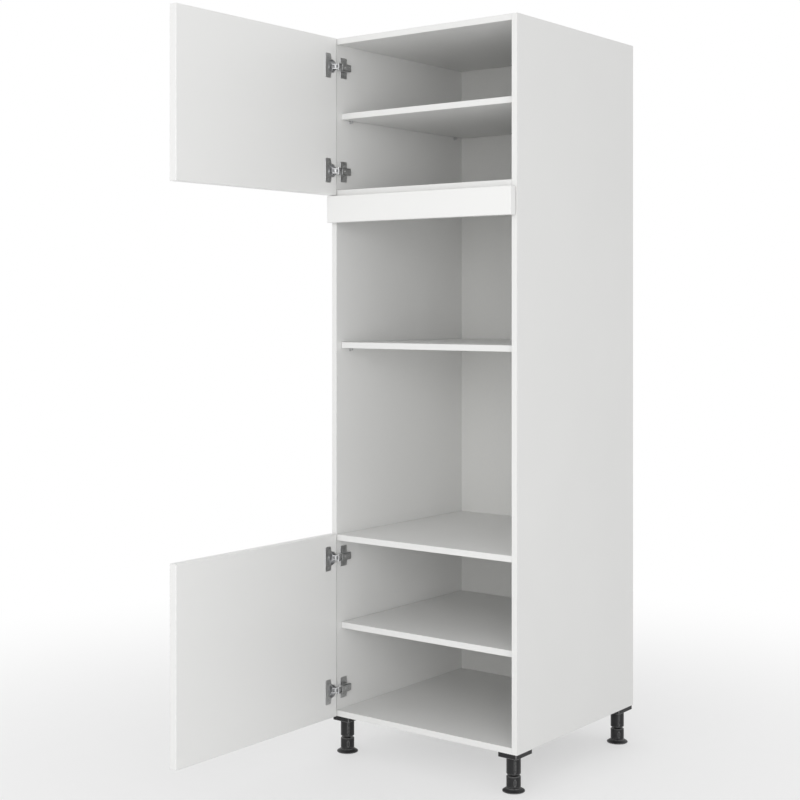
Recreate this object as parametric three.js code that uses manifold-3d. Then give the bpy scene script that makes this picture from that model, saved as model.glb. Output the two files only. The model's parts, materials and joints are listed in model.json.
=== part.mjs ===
// Tall oven housing unit: a white carcass on four adjustable legs, with an oven
// niche, a niche for a second appliance, a cupboard with a door above and another
// below. The doors hang on the left side on concealed cup hinges and stand open at
// a right angle. Millimetres, +Z up. The origin lies on the floor, in the middle of
// the unit's width, in the plane of the carcass's front edges.

import * as THREE from 'three';
import { mergeVertices } from 'three/addons/utils/BufferGeometryUtils.js';
import Module from 'manifold-3d';

const wasm = await Module();
wasm.setup();

// ---- driving dimensions -------------------------------------------------------

// carcass
const carcassWidth = 600;
const carcassDepth = 591;
const carcassHeight = 1840;
const boardThickness = 16;
const backThickness = 3;
const rebateWidth = 8;             // the back lies in a rebate of the two sides
const legHeight = 100;             // floor to the carcass's underside

// heights of the boards' upper faces above the carcass's underside
const lowerShelfTop = 252;
const ovenBaseTop = 493;
const nicheDividerTop = 1015;
const upperFixedTop = 1428;
const topShelfDrop = 202;          // from the carcass's top down to the top shelf

// loose shelves
const shelfSetback = 20;
const shelfSideGap = 1.5;
const shelfRearGap = 2;

// dowels that join the fixed boards to the sides
const dowelRadius = 4;
const dowelReach = 11;
const dowelClearance = 0.3;
const dowelInset = 45;
const dowelCount = 2;

// shelf pins
const pinInset = 37;
const pinHoleRadius = 2.5;
const pinHoleDepth = 9;
const pinRadius = 3.5;
const pinReach = 9;
const pinCollarRadius = 5;
const pinCollarThickness = 1;
const seatGap = 0.3;               // the room left between a piece and its seat
const overrun = 1;                 // how far a cutter passes the face it cuts

// fronts
const frontThickness = 22;
const frontGap = 2.8;              // carcass front to the inner face of a closed front
const frontReveal = 2.5;           // side of the carcass to the edge of a front
const frontEndReveal = 0.5;        // end of the carcass to the end of a door
const topDoorOverlap = 14.5;       // the top door's lower edge below the upper fixed shelf's face
const bottomDoorRise = 2;          // the bottom door's upper edge above the oven base's face
const fasciaHeight = 72;
const fasciaToDoorGap = 2.5;

// angle brackets behind the fascia
const bracketThickness = 2;
const bracketWidth = 30;
const bracketLegLength = 32;
const bracketInset = 70;

// hinge places, from the ends of each door to the middle of the hinge
const topDoorUpperInset = 77;
const topDoorLowerInset = 66;
const bottomDoorUpperInset = 63;
const bottomDoorLowerInset = 72.5;

// hinge cup, in the door: across is measured from the hinge edge, deep from the inner face
const cupRadius = 17.5;
const cupEdgeDistance = 3;
const cupDepth = 13.5;
const cupWall = 1.2;
const cupFloor = 1;
const cupFit = 0.15;
const boreExtraDepth = 0.4;
const flangeThickness = 1;
const flangeRim = 0.9;             // how far the flange passes the cup all round
const cupRound = 1.5;
const flangeHeight = 66;
const flangeHalfWidth = 11;
const flangeCorner = 3;
const flangeOffset = 15;           // cup centre to the line of the flange's screws
const flangeScrewPitch = 45;
const flangeScrewRadius = 2.2;

// hinge pivots
const outerPivotAcross = 8;
const outerPivotDeep = 8.25;
const innerPivotAcross = 12.5;
const innerPivotDeep = 3;
const outerArmPivotX = 26.75;      // from the outer face of the left side
const outerArmPivotY = -1.75;      // from the carcass's front plane
const innerArmPivotReach = 20.5;   // from the pole of the door's quarter turn
const outerLinkRatio = -0.08;      // turn of the outer link for one turn of the door
const openAngle = 90;              // degrees between the closed door and the open one
const pivotRadius = 1.5;
const pivotFit = 0.3;
const cupPinRadius = 1.2;
const cupPinFit = 0.65;            // room for the half millimetre that the cup's pin wanders

// hinge links
const eyeRadius = 2.6;
const innerEyeRadius = 2.1;        // the inner link's eye in the cup
const outerLinkHalfWidth = 4;
const innerCheekInner = 4.4;
const innerCheekOuter = 6.8;
const linkHalfHeight = 1.7;
const linkDrop = 12.2;             // how far the outer link bows round the door's edge
const linkLean = 6.2;
const shoulderDrop = 9.5;
const shoulderLean = 2.8;
const innerPinReach = 8.4;
const innerPinRadius = 1.2;

// hinge arm
const armHalfWidth = 9.5;
const armWall = 1.8;
const pinSink = 0.4;               // how far a pin's end lies below the arm's cheek
const armBack = 44.5;
const armFoot = 19.5;              // from the outer face of the left side
const armTop = 31;
const armHeelY = 7;
const noseRadius = 2.9;
const noseStart = 155;             // degrees round the outer pivot where the nose begins
const armSideScrewY = 15;          // screw that moves the door sideways
const armSideScrewRadius = 2.6;
const armFixScrewY = 33.5;         // screw that holds the arm on its plate
const armFixSlotRadius = 3;

// hinge mounting plate
const plateThickness = 2;
const plateHeight = 56;
const plateFront = 14.5;
const plateRear = 41.5;
const plateBlockFront = 10;
const plateBlockRear = 43;
const plateBlockHalfWidth = 6.8;
const plateBlockHeight = 8;
const plateHumpFront = 27;
const plateHumpRear = 41;
const plateScrewPitch = 32;
const plateScrewRadius = 2.6;
const plateCorner = 2.5;

// adjustable legs; the plate and the spindle's top are measured from the carcass's underside,
// and the tube's end, the collar and the foot rise from the floor
const legPlateWidth = 56;
const legPlateDepth = 75;
const legPlateInset = 2.5;         // side of the carcass to the plate
const legPlateThickness = 12;
const legPlateRoof = 3;            // material over the plate's hollow
const legPlateWall = 2.5;
const legPlateCorner = 4;
const legPlateRib = 2;
const legScrewInset = 8;
const legScrewRadius = 2.3;
const legAxisSide = 30;
const legAxisFront = 30;
const legAxisRear = 36;
const legTubeRadius = 18.25;
const legTubeRise = 44;
const legSlots = 4;                // one towards each corner of the plate
const tubeSlotWidth = 4;
const tubeSlotDepth = 1.5;
const tubeSlotFoot = 5;            // tube's end to the slot
const tubeSlotHead = 1.5;          // plate to the slot
const collarTopRise = 39;
const collarEndRise = 11.5;
const collarRadius = 18.25;
const collarChamfer = 3;
const collarSlotWidth = 5;
const collarSlotDepth = 1.5;
const collarSlotInset = 5;
const edgeBreak = 1.5;             // the small slope that breaks a turned edge
const spindleRadius = 9;
const spindleTop = 26;
const spindleHeadroom = 9;
const spindleFit = 0.6;
const footTopRise = 9.5;
const footNeckRadius = 18.5;
const footRimRadius = 28.5;
const footRimHeight = 3.5;
const footRimRound = 1.5;
const footRimBreak = 1;

// smoothness
const cupSides = 20;
const legSides = 20;                // so that a flat lies behind each slot
const pinSides = 8;
const hiddenSides = 6;
const smallSides = 8;
const eyeSides = 10;
const cornerSegments = 2;
const noseSegments = 5;

// ---- values that follow -------------------------------------------------------

const leftFace = -carcassWidth / 2;
const rightFace = carcassWidth / 2;
const leftInner = leftFace + boardThickness;
const rightInner = rightFace - boardThickness;
const innerRear = carcassDepth - backThickness;
const topDoorBottom = upperFixedTop - topDoorOverlap;
const topDoorHeight = carcassHeight - frontEndReveal - topDoorBottom;
const bottomDoorBottom = frontEndReveal;
const bottomDoorHeight = ovenBaseTop + bottomDoorRise - bottomDoorBottom;
const doorWidth = carcassWidth - 2 * frontReveal;
const cupCentreAcross = cupEdgeDistance + cupRadius;
const cupInnerRadius = cupRadius - cupWall;

// ---- materials ----------------------------------------------------------------

const finish = (color, roughness, metalness) => () =>
  new THREE.MeshStandardMaterial({ color, roughness, metalness });
const whiteBoard = finish(0xf4f4f2, 0.55, 0);
const whiteFront = finish(0xf8f8f6, 0.4, 0);
const whiteBack = finish(0xeeeeeb, 0.6, 0);
const steel = finish(0xb9bcc0, 0.32, 1);
const linkSteel = finish(0xa4a7ab, 0.36, 1);
const blackPlastic = finish(0x1b1b1c, 0.5, 0);

const unit = new THREE.Group();

// ---- solid helpers ------------------------------------------------------------

function toSolid(geometry) {
  const bare = geometry.clone();
  bare.deleteAttribute('normal');
  bare.deleteAttribute('uv');
  const merged = mergeVertices(bare, 1e-4);
  const mesh = new wasm.Mesh({
    numProp: 3,
    vertProperties: new Float32Array(merged.attributes.position.array),
    triVerts: new Uint32Array(merged.index.array),
  });
  return new wasm.Manifold(mesh);
}

function toGeometry(solid) {
  const mesh = solid.getMesh();
  const geometry = new THREE.BufferGeometry();
  geometry.setAttribute('position', new THREE.BufferAttribute(mesh.vertProperties, 3));
  geometry.setIndex(new THREE.BufferAttribute(mesh.triVerts, 1));
  geometry.computeVertexNormals();
  return geometry;
}

function join(first, ...others) {
  const total = others.reduce((sum, next) => sum.add(toSolid(next)), toSolid(first));
  return toGeometry(total);
}

function cut(first, ...others) {
  const total = others.reduce((rest, next) => rest.subtract(toSolid(next)), toSolid(first));
  return toGeometry(total);
}

function common(first, second) {
  return toGeometry(toSolid(first).intersect(toSolid(second)));
}

function block(x0, x1, y0, y1, z0, z1) {
  const geometry = new THREE.BoxGeometry(x1 - x0, y1 - y0, z1 - z0);
  return geometry.translate((x0 + x1) / 2, (y0 + y1) / 2, (z0 + z1) / 2);
}

// an outline in plan, extruded upwards from z0 to z1
function raised(shape, z0, z1, curveSegments = cornerSegments) {
  const options = { depth: z1 - z0, bevelEnabled: false, curveSegments };
  return new THREE.ExtrudeGeometry(shape, options).translate(0, 0, z0);
}

// an outline drawn in (y, z), extruded along X from x0 to x1
function alongX(shape, x0, x1, curveSegments = cornerSegments) {
  const options = { depth: x1 - x0, bevelEnabled: false, curveSegments };
  const geometry = new THREE.ExtrudeGeometry(shape, options);
  geometry.rotateX(Math.PI / 2).rotateZ(Math.PI / 2);
  return geometry.translate(x0, 0, 0);
}

function rodX(radius, x0, x1, y, z, sides) {
  const geometry = new THREE.CylinderGeometry(radius, radius, x1 - x0, sides);
  return geometry.rotateZ(Math.PI / 2).translate((x0 + x1) / 2, y, z);
}

function rodZ(radius, x, y, z0, z1, sides) {
  const geometry = new THREE.CylinderGeometry(radius, radius, z1 - z0, sides);
  return geometry.rotateX(Math.PI / 2).translate(x, y, (z0 + z1) / 2);
}

// a profile of [radius, height] points, from the top down, turned about the vertical
// through (x, y)
function turned(profile, x, y, sides) {
  const upwards = [...profile].reverse();
  const points = upwards.map(([radius, height]) => new THREE.Vector2(radius, height));
  const geometry = new THREE.LatheGeometry(points, sides);
  return geometry.rotateX(Math.PI / 2).translate(x, y, 0);
}

function roundedRectangle(x0, x1, y0, y1, corner) {
  const shape = new THREE.Shape();
  shape.moveTo(x0 + corner, y0);
  shape.lineTo(x1 - corner, y0);
  shape.absarc(x1 - corner, y0 + corner, corner, -Math.PI / 2, 0);
  shape.lineTo(x1, y1 - corner);
  shape.absarc(x1 - corner, y1 - corner, corner, 0, Math.PI / 2);
  shape.lineTo(x0 + corner, y1);
  shape.absarc(x0 + corner, y1 - corner, corner, Math.PI / 2, Math.PI);
  shape.lineTo(x0, y0 + corner);
  shape.absarc(x0 + corner, y0 + corner, corner, Math.PI, 1.5 * Math.PI);
  return shape;
}

function add(name, geometry, material) {
  const mesh = new THREE.Mesh(geometry, material());
  mesh.name = name;
  unit.add(mesh);
  return mesh;
}

// ---- carcass ------------------------------------------------------------------

const underside = legHeight;
const carcassTop = underside + carcassHeight;

const fixedBoards = [
  { name: 'bottom_panel', top: underside + boardThickness },
  { name: 'oven_base_shelf', top: underside + ovenBaseTop },
  { name: 'upper_fixed_shelf', top: underside + upperFixedTop },
  { name: 'top_panel', top: carcassTop },
];

const looseShelves = [
  { name: 'lower_adjustable_shelf', short: 'lower_shelf_pin', top: underside + lowerShelfTop },
  { name: 'niche_divider_shelf', short: 'divider_pin', top: underside + nicheDividerTop },
  { name: 'top_adjustable_shelf', short: 'top_shelf_pin', top: carcassTop - topShelfDrop },
];

const dowelPlaces = Array.from({ length: dowelCount }, (_, index) =>
  dowelInset + (index * (innerRear - 2 * dowelInset)) / (dowelCount - 1));

const shelfRear = innerRear - shelfRearGap;
const pinPlaces = [
  { row: 'front', y: shelfSetback + pinInset },
  { row: 'rear', y: shelfRear - pinInset },
];
const pinHeight = (top) => top - boardThickness - seatGap - pinRadius;

function sidePanel(side) {
  const inner = side * (carcassWidth / 2 - boardThickness);
  const outer = side * (carcassWidth / 2);
  const low = Math.min(inner, outer);
  const high = Math.max(inner, outer);
  const board = block(low, high, 0, carcassDepth, underside, carcassTop);
  const deep = (depth) => [Math.min(inner - side * overrun, inner + side * depth),
    Math.max(inner - side * overrun, inner + side * depth)];
  const rebate = block(...deep(rebateWidth), innerRear, carcassDepth + overrun,
    underside - overrun, carcassTop + overrun);
  const holes = [];
  for (const { top } of fixedBoards) {
    for (const y of dowelPlaces) {
      const [x0, x1] = deep(dowelReach + dowelClearance);
      const radius = dowelRadius + dowelClearance;
      holes.push(rodX(radius, x0, x1, y, top - boardThickness / 2, hiddenSides));
    }
  }
  for (const { top } of looseShelves) {
    for (const { y } of pinPlaces) {
      const [x0, x1] = deep(pinHoleDepth + dowelClearance);
      holes.push(rodX(pinHoleRadius + dowelClearance, x0, x1, y, pinHeight(top), pinSides));
    }
  }
  return cut(board, rebate, ...holes);
}

function fixedBoard(top) {
  const board = block(leftInner, rightInner, 0, innerRear, top - boardThickness, top);
  const middle = top - boardThickness / 2;
  const dowels = dowelPlaces.flatMap((y) => [
    rodX(dowelRadius, leftInner - dowelReach, leftInner + dowelReach, y, middle, hiddenSides),
    rodX(dowelRadius, rightInner - dowelReach, rightInner + dowelReach, y, middle, hiddenSides),
  ]);
  return join(board, ...dowels);
}

add('left_side_panel', sidePanel(-1), whiteBoard);
add('right_side_panel', sidePanel(1), whiteBoard);
for (const { name, top } of fixedBoards) {
  add(name, fixedBoard(top), whiteBoard);
}
const backReach = carcassWidth / 2 - boardThickness + rebateWidth - seatGap;
add('back_panel', block(-backReach, backReach, innerRear, carcassDepth, underside, carcassTop),
  whiteBack);

// ---- loose shelves and their pins ---------------------------------------------

function shelfPin(side, y, z) {
  const face = side * (carcassWidth / 2 - boardThickness);
  const span = (from, to) => [Math.min(face + side * from, face + side * to),
    Math.max(face + side * from, face + side * to)];
  const shank = span(pinHoleDepth, -pinCollarThickness);
  const collar = span(-seatGap, -seatGap - pinCollarThickness);
  const rest = span(-seatGap, -seatGap - pinReach);
  return join(rodX(pinHoleRadius, ...shank, y, z, pinSides),
    rodX(pinCollarRadius, ...collar, y, z, pinSides),
    rodX(pinRadius, ...rest, y, z, pinSides));
}

for (const { name, short, top } of looseShelves) {
  const shelf = block(leftInner + shelfSideGap, rightInner - shelfSideGap,
    shelfSetback, shelfRear, top - boardThickness, top);
  add(name, shelf, whiteBoard);
  for (const [sideName, side] of [['left', -1], ['right', 1]]) {
    for (const { row, y } of pinPlaces) {
      add(`${short}_${row}_${sideName}`, shelfPin(side, y, pinHeight(top)), steel);
    }
  }
}

// ---- fascia -------------------------------------------------------------------

const fasciaTop = underside + topDoorBottom - fasciaToDoorGap;
add('fascia_panel', block(leftFace + frontReveal, rightFace - frontReveal,
  -frontGap - frontThickness, -frontGap, fasciaTop - fasciaHeight, fasciaTop), whiteFront);

function fasciaBracket(x) {
  const seat = underside + upperFixedTop - boardThickness;
  const left = x - bracketWidth / 2;
  const right = x + bracketWidth / 2;
  const y0 = -frontGap;
  const upright = block(left, right, y0, y0 + bracketThickness, fasciaTop - bracketLegLength, seat);
  const level = block(left, right, y0, y0 + bracketLegLength, seat - bracketThickness, seat);
  return join(upright, level);
}

add('fascia_bracket_left', fasciaBracket(leftInner + bracketInset), steel);
add('fascia_bracket_right', fasciaBracket(rightInner - bracketInset), steel);

// ---- hinge mechanism in plan --------------------------------------------------
// The outer link turns about a pin on the arm and carries a pin of the cup, so the
// open door's place follows from the closed one by turning the link and the door.
// The pole is the one point that this turn leaves where it is, and the door hangs on
// it. The inner link's arm pivot lies on the line from the pole that halves the turn,
// so its far end meets its place on the cup both open and closed.

const vector = (x, y) => new THREE.Vector2(x, y);
const zeroPoint = vector(0, 0);
const radians = THREE.MathUtils.degToRad;
const turnAbout = (point, centre, angle) => point.clone().rotateAround(centre, angle);

const outerArmPivot = vector(leftFace + outerArmPivotX, outerArmPivotY);
const closedEdge = vector(leftFace + frontReveal, -frontGap);
const closedPoint = (across, deep) => vector(closedEdge.x + across, closedEdge.y - deep);

const outerPivotClosed = closedPoint(outerPivotAcross, outerPivotDeep);
const outerPivotOpen = turnAbout(outerPivotClosed, outerArmPivot,
  -radians(openAngle) * outerLinkRatio);
const openOffset = vector(-outerPivotAcross, outerPivotDeep)
  .rotateAround(zeroPoint, -radians(openAngle));
const openEdge = outerPivotOpen.clone().add(openOffset);
const openPoint = (across, deep) => {
  const offset = vector(across, -deep).rotateAround(zeroPoint, -radians(openAngle));
  return openEdge.clone().add(offset);
};

// the pole: the point that the whole turn from open to closed leaves where it is
function turnPole(from, to, angle) {
  const middle = from.clone().add(to).multiplyScalar(0.5);
  const half = to.clone().sub(from).multiplyScalar(0.5);
  const normal = vector(-half.y, half.x).multiplyScalar(1 / Math.tan(angle / 2));
  return middle.add(normal);
}

const innerPivotClosed = closedPoint(innerPivotAcross, innerPivotDeep);
const innerPivotOpen = openPoint(innerPivotAcross, innerPivotDeep);
const pole = turnPole(openEdge, closedEdge, radians(openAngle));
const halfWay = innerPivotOpen.clone().add(innerPivotClosed).multiplyScalar(0.5);
const innerArmPivot = halfWay.clone().sub(pole).normalize()
  .multiplyScalar(innerArmPivotReach).add(pole);
const linkAngle = (from, to) => Math.atan2(to.y - from.y, to.x - from.x);

// ---- hinge pieces -------------------------------------------------------------

const cupCentre = openPoint(cupCentreAcross, 0);

// a turned profile of [radius, depth into the door], its mouth on the open door's inner face
function turnedInDoor(profile, z, sides) {
  const points = profile.map(([radius, depth]) => new THREE.Vector2(radius, depth));
  const geometry = new THREE.LatheGeometry(points, sides);
  return geometry.rotateZ(Math.PI / 2).translate(cupCentre.x, cupCentre.y, z);
}

function hingeCup(z) {
  const outer = cupRadius - cupFit;
  const lip = -seatGap - flangeThickness;
  const shell = turnedInDoor([[0, lip], [outer, lip], [outer, cupDepth - cupRound],
    [outer - cupRound, cupDepth], [0, cupDepth]], z, cupSides);
  const face = cupCentre.x + seatGap;
  const screwY = openPoint(cupCentreAcross + flangeOffset, 0).y;
  const ears = alongX(roundedRectangle(screwY - flangeHalfWidth, screwY + flangeHalfWidth,
    z - flangeHeight / 2, z + flangeHeight / 2, flangeCorner), face, face + flangeThickness);
  const rim = rodX(cupRadius + flangeRim, face, face + flangeThickness, cupCentre.y, z, cupSides);
  const hollowFloor = cupDepth - cupFloor;
  const mouth = lip - overrun;
  const hollow = turnedInDoor([[0, mouth], [cupInnerRadius, mouth],
    [cupInnerRadius, hollowFloor - cupRound], [cupInnerRadius - cupRound, hollowFloor],
    [0, hollowFloor]], z, cupSides);
  const screws = [-1, 1].map((end) => rodX(flangeScrewRadius, face - overrun,
    face + flangeThickness + overrun, screwY, z + end * flangeScrewPitch / 2, smallSides));
  const open = cut(join(shell, ears, rim), hollow, ...screws);
  const pin = rodZ(cupPinRadius, outerPivotOpen.x, outerPivotOpen.y,
    z - cupRadius, z + cupRadius, smallSides);
  return join(open, common(shell, pin));
}

// a bar of even width along a chain of points in plan, with a round at each point
function linkBar(points, halfHeight, z0, z1) {
  const bars = [];
  for (let index = 0; index + 1 < points.length; index += 1) {
    const from = points[index];
    const to = points[index + 1];
    const length = from.distanceTo(to);
    const bar = block(0, length, -halfHeight, halfHeight, z0, z1);
    bar.rotateZ(linkAngle(from, to)).translate(from.x, from.y, 0);
    bars.push(bar, rodZ(halfHeight, to.x, to.y, z0, z1, eyeSides));
  }
  return join(...bars);
}

const eye = (centre, z0, z1) => rodZ(eyeRadius, centre.x, centre.y, z0, z1, eyeSides);
const eyeBore = (centre, radius, z0, z1) =>
  rodZ(radius, centre.x, centre.y, z0 - overrun, z1 + overrun, smallSides);

function outerLink(z) {
  const z0 = z - outerLinkHalfWidth;
  const z1 = z + outerLinkHalfWidth;
  const bend = vector(outerArmPivot.x - linkLean, outerArmPivot.y - linkDrop);
  const shoulder = vector(outerArmPivot.x - shoulderLean, outerArmPivot.y - shoulderDrop);
  const bar = linkBar([outerPivotOpen, bend, shoulder, outerArmPivot], linkHalfHeight, z0, z1);
  const whole = join(bar, eye(outerPivotOpen, z0, z1), eye(outerArmPivot, z0, z1));
  return cut(whole, eyeBore(outerPivotOpen, cupPinRadius + cupPinFit, z0, z1),
    eyeBore(outerArmPivot, pivotRadius + pivotFit, z0, z1));
}

function innerLink(z) {
  const cheeks = [-1, 1].map((side) => {
    const inner = z + side * innerCheekInner;
    const outer = z + side * innerCheekOuter;
    const z0 = Math.min(inner, outer);
    const z1 = Math.max(inner, outer);
    return join(linkBar([innerPivotOpen, innerArmPivot], linkHalfHeight, z0, z1),
      rodZ(innerEyeRadius, innerPivotOpen.x, innerPivotOpen.y, z0, z1, eyeSides));
  });
  const barrel = eye(innerArmPivot, z - innerCheekOuter, z + innerCheekOuter);
  const stub = (side) => {
    const from = z + side * (innerCheekInner + innerCheekOuter) / 2;
    const to = z + side * innerPinReach;
    return rodZ(innerPinRadius, innerPivotOpen.x, innerPivotOpen.y,
      Math.min(from, to), Math.max(from, to), smallSides);
  };
  const whole = join(...cheeks, barrel, stub(-1), stub(1));
  return cut(whole, eyeBore(innerArmPivot, pivotRadius + pivotFit,
    z - innerCheekOuter, z + innerCheekOuter));
}

// outline of the arm seen in plan, with its nose rounded about the two pivots
function armOutline() {
  const left = leftFace + armFoot;
  const right = leftFace + armTop;
  const along = linkAngle(outerArmPivot, innerArmPivot);
  const shape = new THREE.Shape();
  shape.moveTo(left, armBack);
  shape.lineTo(left, armHeelY);
  const across = along - Math.PI / 2;
  const noseEnd = across + 2 * Math.PI;
  shape.absarc(outerArmPivot.x, outerArmPivot.y, noseRadius, radians(noseStart), noseEnd);
  shape.absarc(innerArmPivot.x, innerArmPivot.y, noseRadius, across, 0);
  shape.lineTo(right, armHeelY);
  shape.lineTo(right, armBack);
  return shape;
}

function hingeArm(z) {
  const left = leftFace + armFoot;
  const right = leftFace + armTop;
  const whole = raised(armOutline(), z - armHalfWidth, z + armHalfWidth, noseSegments);
  const clear = armHalfWidth - armWall;
  const channel = block(left - overrun, right - armWall, armHeelY - overrun, armBack + overrun,
    z - clear, z + clear);
  const throat = block(left - linkDrop, right + linkDrop, -linkDrop, armHeelY,
    z - clear, z + clear);
  const holes = [[armSideScrewY, armSideScrewRadius], [armFixScrewY, armFixSlotRadius]].map(
    ([y, radius]) => rodX(radius, right - armWall - overrun, right + overrun, y, z, smallSides));
  const hollow = cut(whole, channel, throat, ...holes);
  const pin = (centre) => rodZ(pivotRadius, centre.x, centre.y,
    z - armHalfWidth + pinSink, z + armHalfWidth - pinSink, smallSides);
  return join(hollow, pin(outerArmPivot), pin(innerArmPivot));
}

function hingePlate(z) {
  const face = leftInner;
  const wings = alongX(roundedRectangle(plateFront, plateRear,
    z - plateHeight / 2, z + plateHeight / 2, plateCorner), face, face + plateThickness);
  const body = block(face, face + plateBlockHeight, plateBlockFront, plateBlockRear,
    z - plateBlockHalfWidth, z + plateBlockHalfWidth);
  const humpTop = leftFace + armTop - armWall - seatGap;
  const hump = block(face, humpTop, plateHumpFront, plateHumpRear,
    z - plateBlockHalfWidth, z + plateBlockHalfWidth);
  const middle = (plateFront + plateRear) / 2;
  const screws = [-1, 1].map((end) => rodX(plateScrewRadius, face - overrun,
    face + plateThickness + overrun, middle, z + end * plateScrewPitch / 2, smallSides));
  return cut(join(wings, body, hump), ...screws);
}

// ---- doors --------------------------------------------------------------------

function door(bottom, height, hingeHeights) {
  const near = openPoint(0, 0);
  const far = openPoint(doorWidth, frontThickness);
  const panel = block(far.x, near.x, far.y, near.y, bottom, bottom + height);
  const bores = hingeHeights.map((z) => rodX(cupRadius, near.x - cupDepth - boreExtraDepth,
    near.x + overrun, cupCentre.y, z, cupSides));
  return cut(panel, ...bores);
}

const doors = [
  {
    name: 'top_door',
    bottom: underside + topDoorBottom,
    height: topDoorHeight,
    upper: topDoorUpperInset,
    lower: topDoorLowerInset,
  },
  {
    name: 'bottom_door',
    bottom: underside + bottomDoorBottom,
    height: bottomDoorHeight,
    upper: bottomDoorUpperInset,
    lower: bottomDoorLowerInset,
  },
];

for (const { name, bottom, height, upper, lower } of doors) {
  const hinges = [
    { place: 'upper', z: bottom + height - upper },
    { place: 'lower', z: bottom + lower },
  ];
  add(name, door(bottom, height, hinges.map(({ z }) => z)), whiteFront);
  for (const { place, z } of hinges) {
    const hinge = `${name}_${place}`;
    add(`${hinge}_hinge_cup`, hingeCup(z), steel);
    add(`${hinge}_outer_link`, outerLink(z), linkSteel);
    add(`${hinge}_inner_link`, innerLink(z), linkSteel);
    add(`${hinge}_hinge_arm`, hingeArm(z), steel);
    add(`${hinge}_hinge_plate`, hingePlate(z), steel);
  }
}

// ---- adjustable legs ----------------------------------------------------------

const below = (depth) => underside - depth;

// four upright slots in a turned wall about (x, y), each towards a corner of the leg's plate
function wallSlots(radius, depth, width, z0, z1, x, y) {
  return Array.from({ length: legSlots }, (_, index) => {
    const turn = ((index + 0.5) * 2 * Math.PI) / legSlots;
    const slot = block(radius - depth, radius + overrun, -width / 2, width / 2, z0, z1);
    return slot.rotateZ(turn).translate(x, y, 0);
  });
}

// a plate with a skirt and ribs below it, and a tube for the spindle
function legMount(x, y, sideSign, endSign) {
  const edgeX = x + sideSign * (legAxisSide - legPlateInset);
  const reachX = edgeX - sideSign * legPlateWidth;
  const axisToEnd = endSign < 0 ? legAxisFront : legAxisRear;
  const edgeY = y + endSign * axisToEnd;
  const reachY = edgeY - endSign * legPlateDepth;
  const x0 = Math.min(edgeX, reachX);
  const x1 = Math.max(edgeX, reachX);
  const y0 = Math.min(edgeY, reachY);
  const y1 = Math.max(edgeY, reachY);
  const outline = (inset, corner) =>
    roundedRectangle(x0 + inset, x1 - inset, y0 + inset, y1 - inset, corner);
  const skirtEnd = below(legPlateThickness);
  const plate = raised(outline(0, legPlateCorner), skirtEnd, underside);
  const hollow = raised(outline(legPlateWall, Math.max(legPlateCorner - legPlateWall, edgeBreak)),
    skirtEnd - overrun, below(legPlateRoof));
  const halfRib = legPlateRib / 2;
  const inset = legPlateWall / 2;
  const roof = below(legPlateRoof / 2);
  const ribs = [block(x0 + inset, x1 - inset, y - halfRib, y + halfRib, skirtEnd, roof),
    block(x - halfRib, x + halfRib, y0 + inset, y1 - inset, skirtEnd, roof)];
  const tube = turned([[0, roof], [legTubeRadius, roof], [legTubeRadius, legTubeRise + edgeBreak],
    [legTubeRadius - edgeBreak, legTubeRise], [0, legTubeRise]], x, y, legSides);
  const bore = rodZ(spindleRadius + spindleFit, x, y, legTubeRise - overrun,
    below(spindleTop - spindleHeadroom), legSides);
  const screws = [x0 + legScrewInset, x1 - legScrewInset].flatMap((screwX) =>
    [y0 + legScrewInset, y1 - legScrewInset].map((screwY) => rodZ(legScrewRadius, screwX, screwY,
      below(legPlateRoof + overrun), underside + overrun, hiddenSides)));
  const slots = wallSlots(legTubeRadius, tubeSlotDepth, tubeSlotWidth,
    legTubeRise + tubeSlotFoot, below(legPlateThickness + tubeSlotHead), x, y);
  return cut(join(cut(plate, hollow), ...ribs, tube), bore, ...screws, ...slots);
}

function legCollar(x, y) {
  const inner = spindleRadius + spindleFit;
  const ring = turned([[inner, collarTopRise], [collarRadius - collarChamfer, collarTopRise],
    [collarRadius, collarTopRise - collarChamfer], [collarRadius, collarEndRise + edgeBreak],
    [collarRadius - edgeBreak, collarEndRise], [inner, collarEndRise],
    [inner, collarTopRise]], x, y, legSides);
  const slots = wallSlots(collarRadius, collarSlotDepth, collarSlotWidth,
    collarEndRise + collarSlotInset, collarTopRise - collarChamfer - collarSlotInset, x, y);
  return cut(ring, ...slots);
}

function legFoot(x, y) {
  return turned([[0, below(spindleTop)], [spindleRadius, below(spindleTop)],
    [spindleRadius, footTopRise],
    [footNeckRadius, footTopRise], [footRimRadius - footRimRound, footRimHeight],
    [footRimRadius, footRimHeight - footRimRound], [footRimRadius, footRimBreak],
    [footRimRadius - footRimBreak, 0], [0, 0]], x, y, legSides);
}

for (const [endName, endSign] of [['front', -1], ['rear', 1]]) {
  for (const [sideName, sideSign] of [['left', -1], ['right', 1]]) {
    const x = sideSign * (carcassWidth / 2 - legAxisSide);
    const y = endSign < 0 ? legAxisFront : carcassDepth - legAxisRear;
    add(`${endName}_${sideName}_leg_mount`, legMount(x, y, sideSign, endSign), blackPlastic);
    add(`${endName}_${sideName}_leg_collar`, legCollar(x, y), blackPlastic);
    add(`${endName}_${sideName}_leg_foot`, legFoot(x, y), blackPlastic);
  }
}

export default unit;
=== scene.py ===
"""Looks of the tall oven housing unit, laid out as an add-on and run as a script.

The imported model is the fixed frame. Each piece below is worked out as whole arrays, stands
for one or more of the model's nodes and rides on their body. Lengths are in metres, so that
a size or a profile that is written in millimetres is followed by MM.
"""

import json
import math

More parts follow.
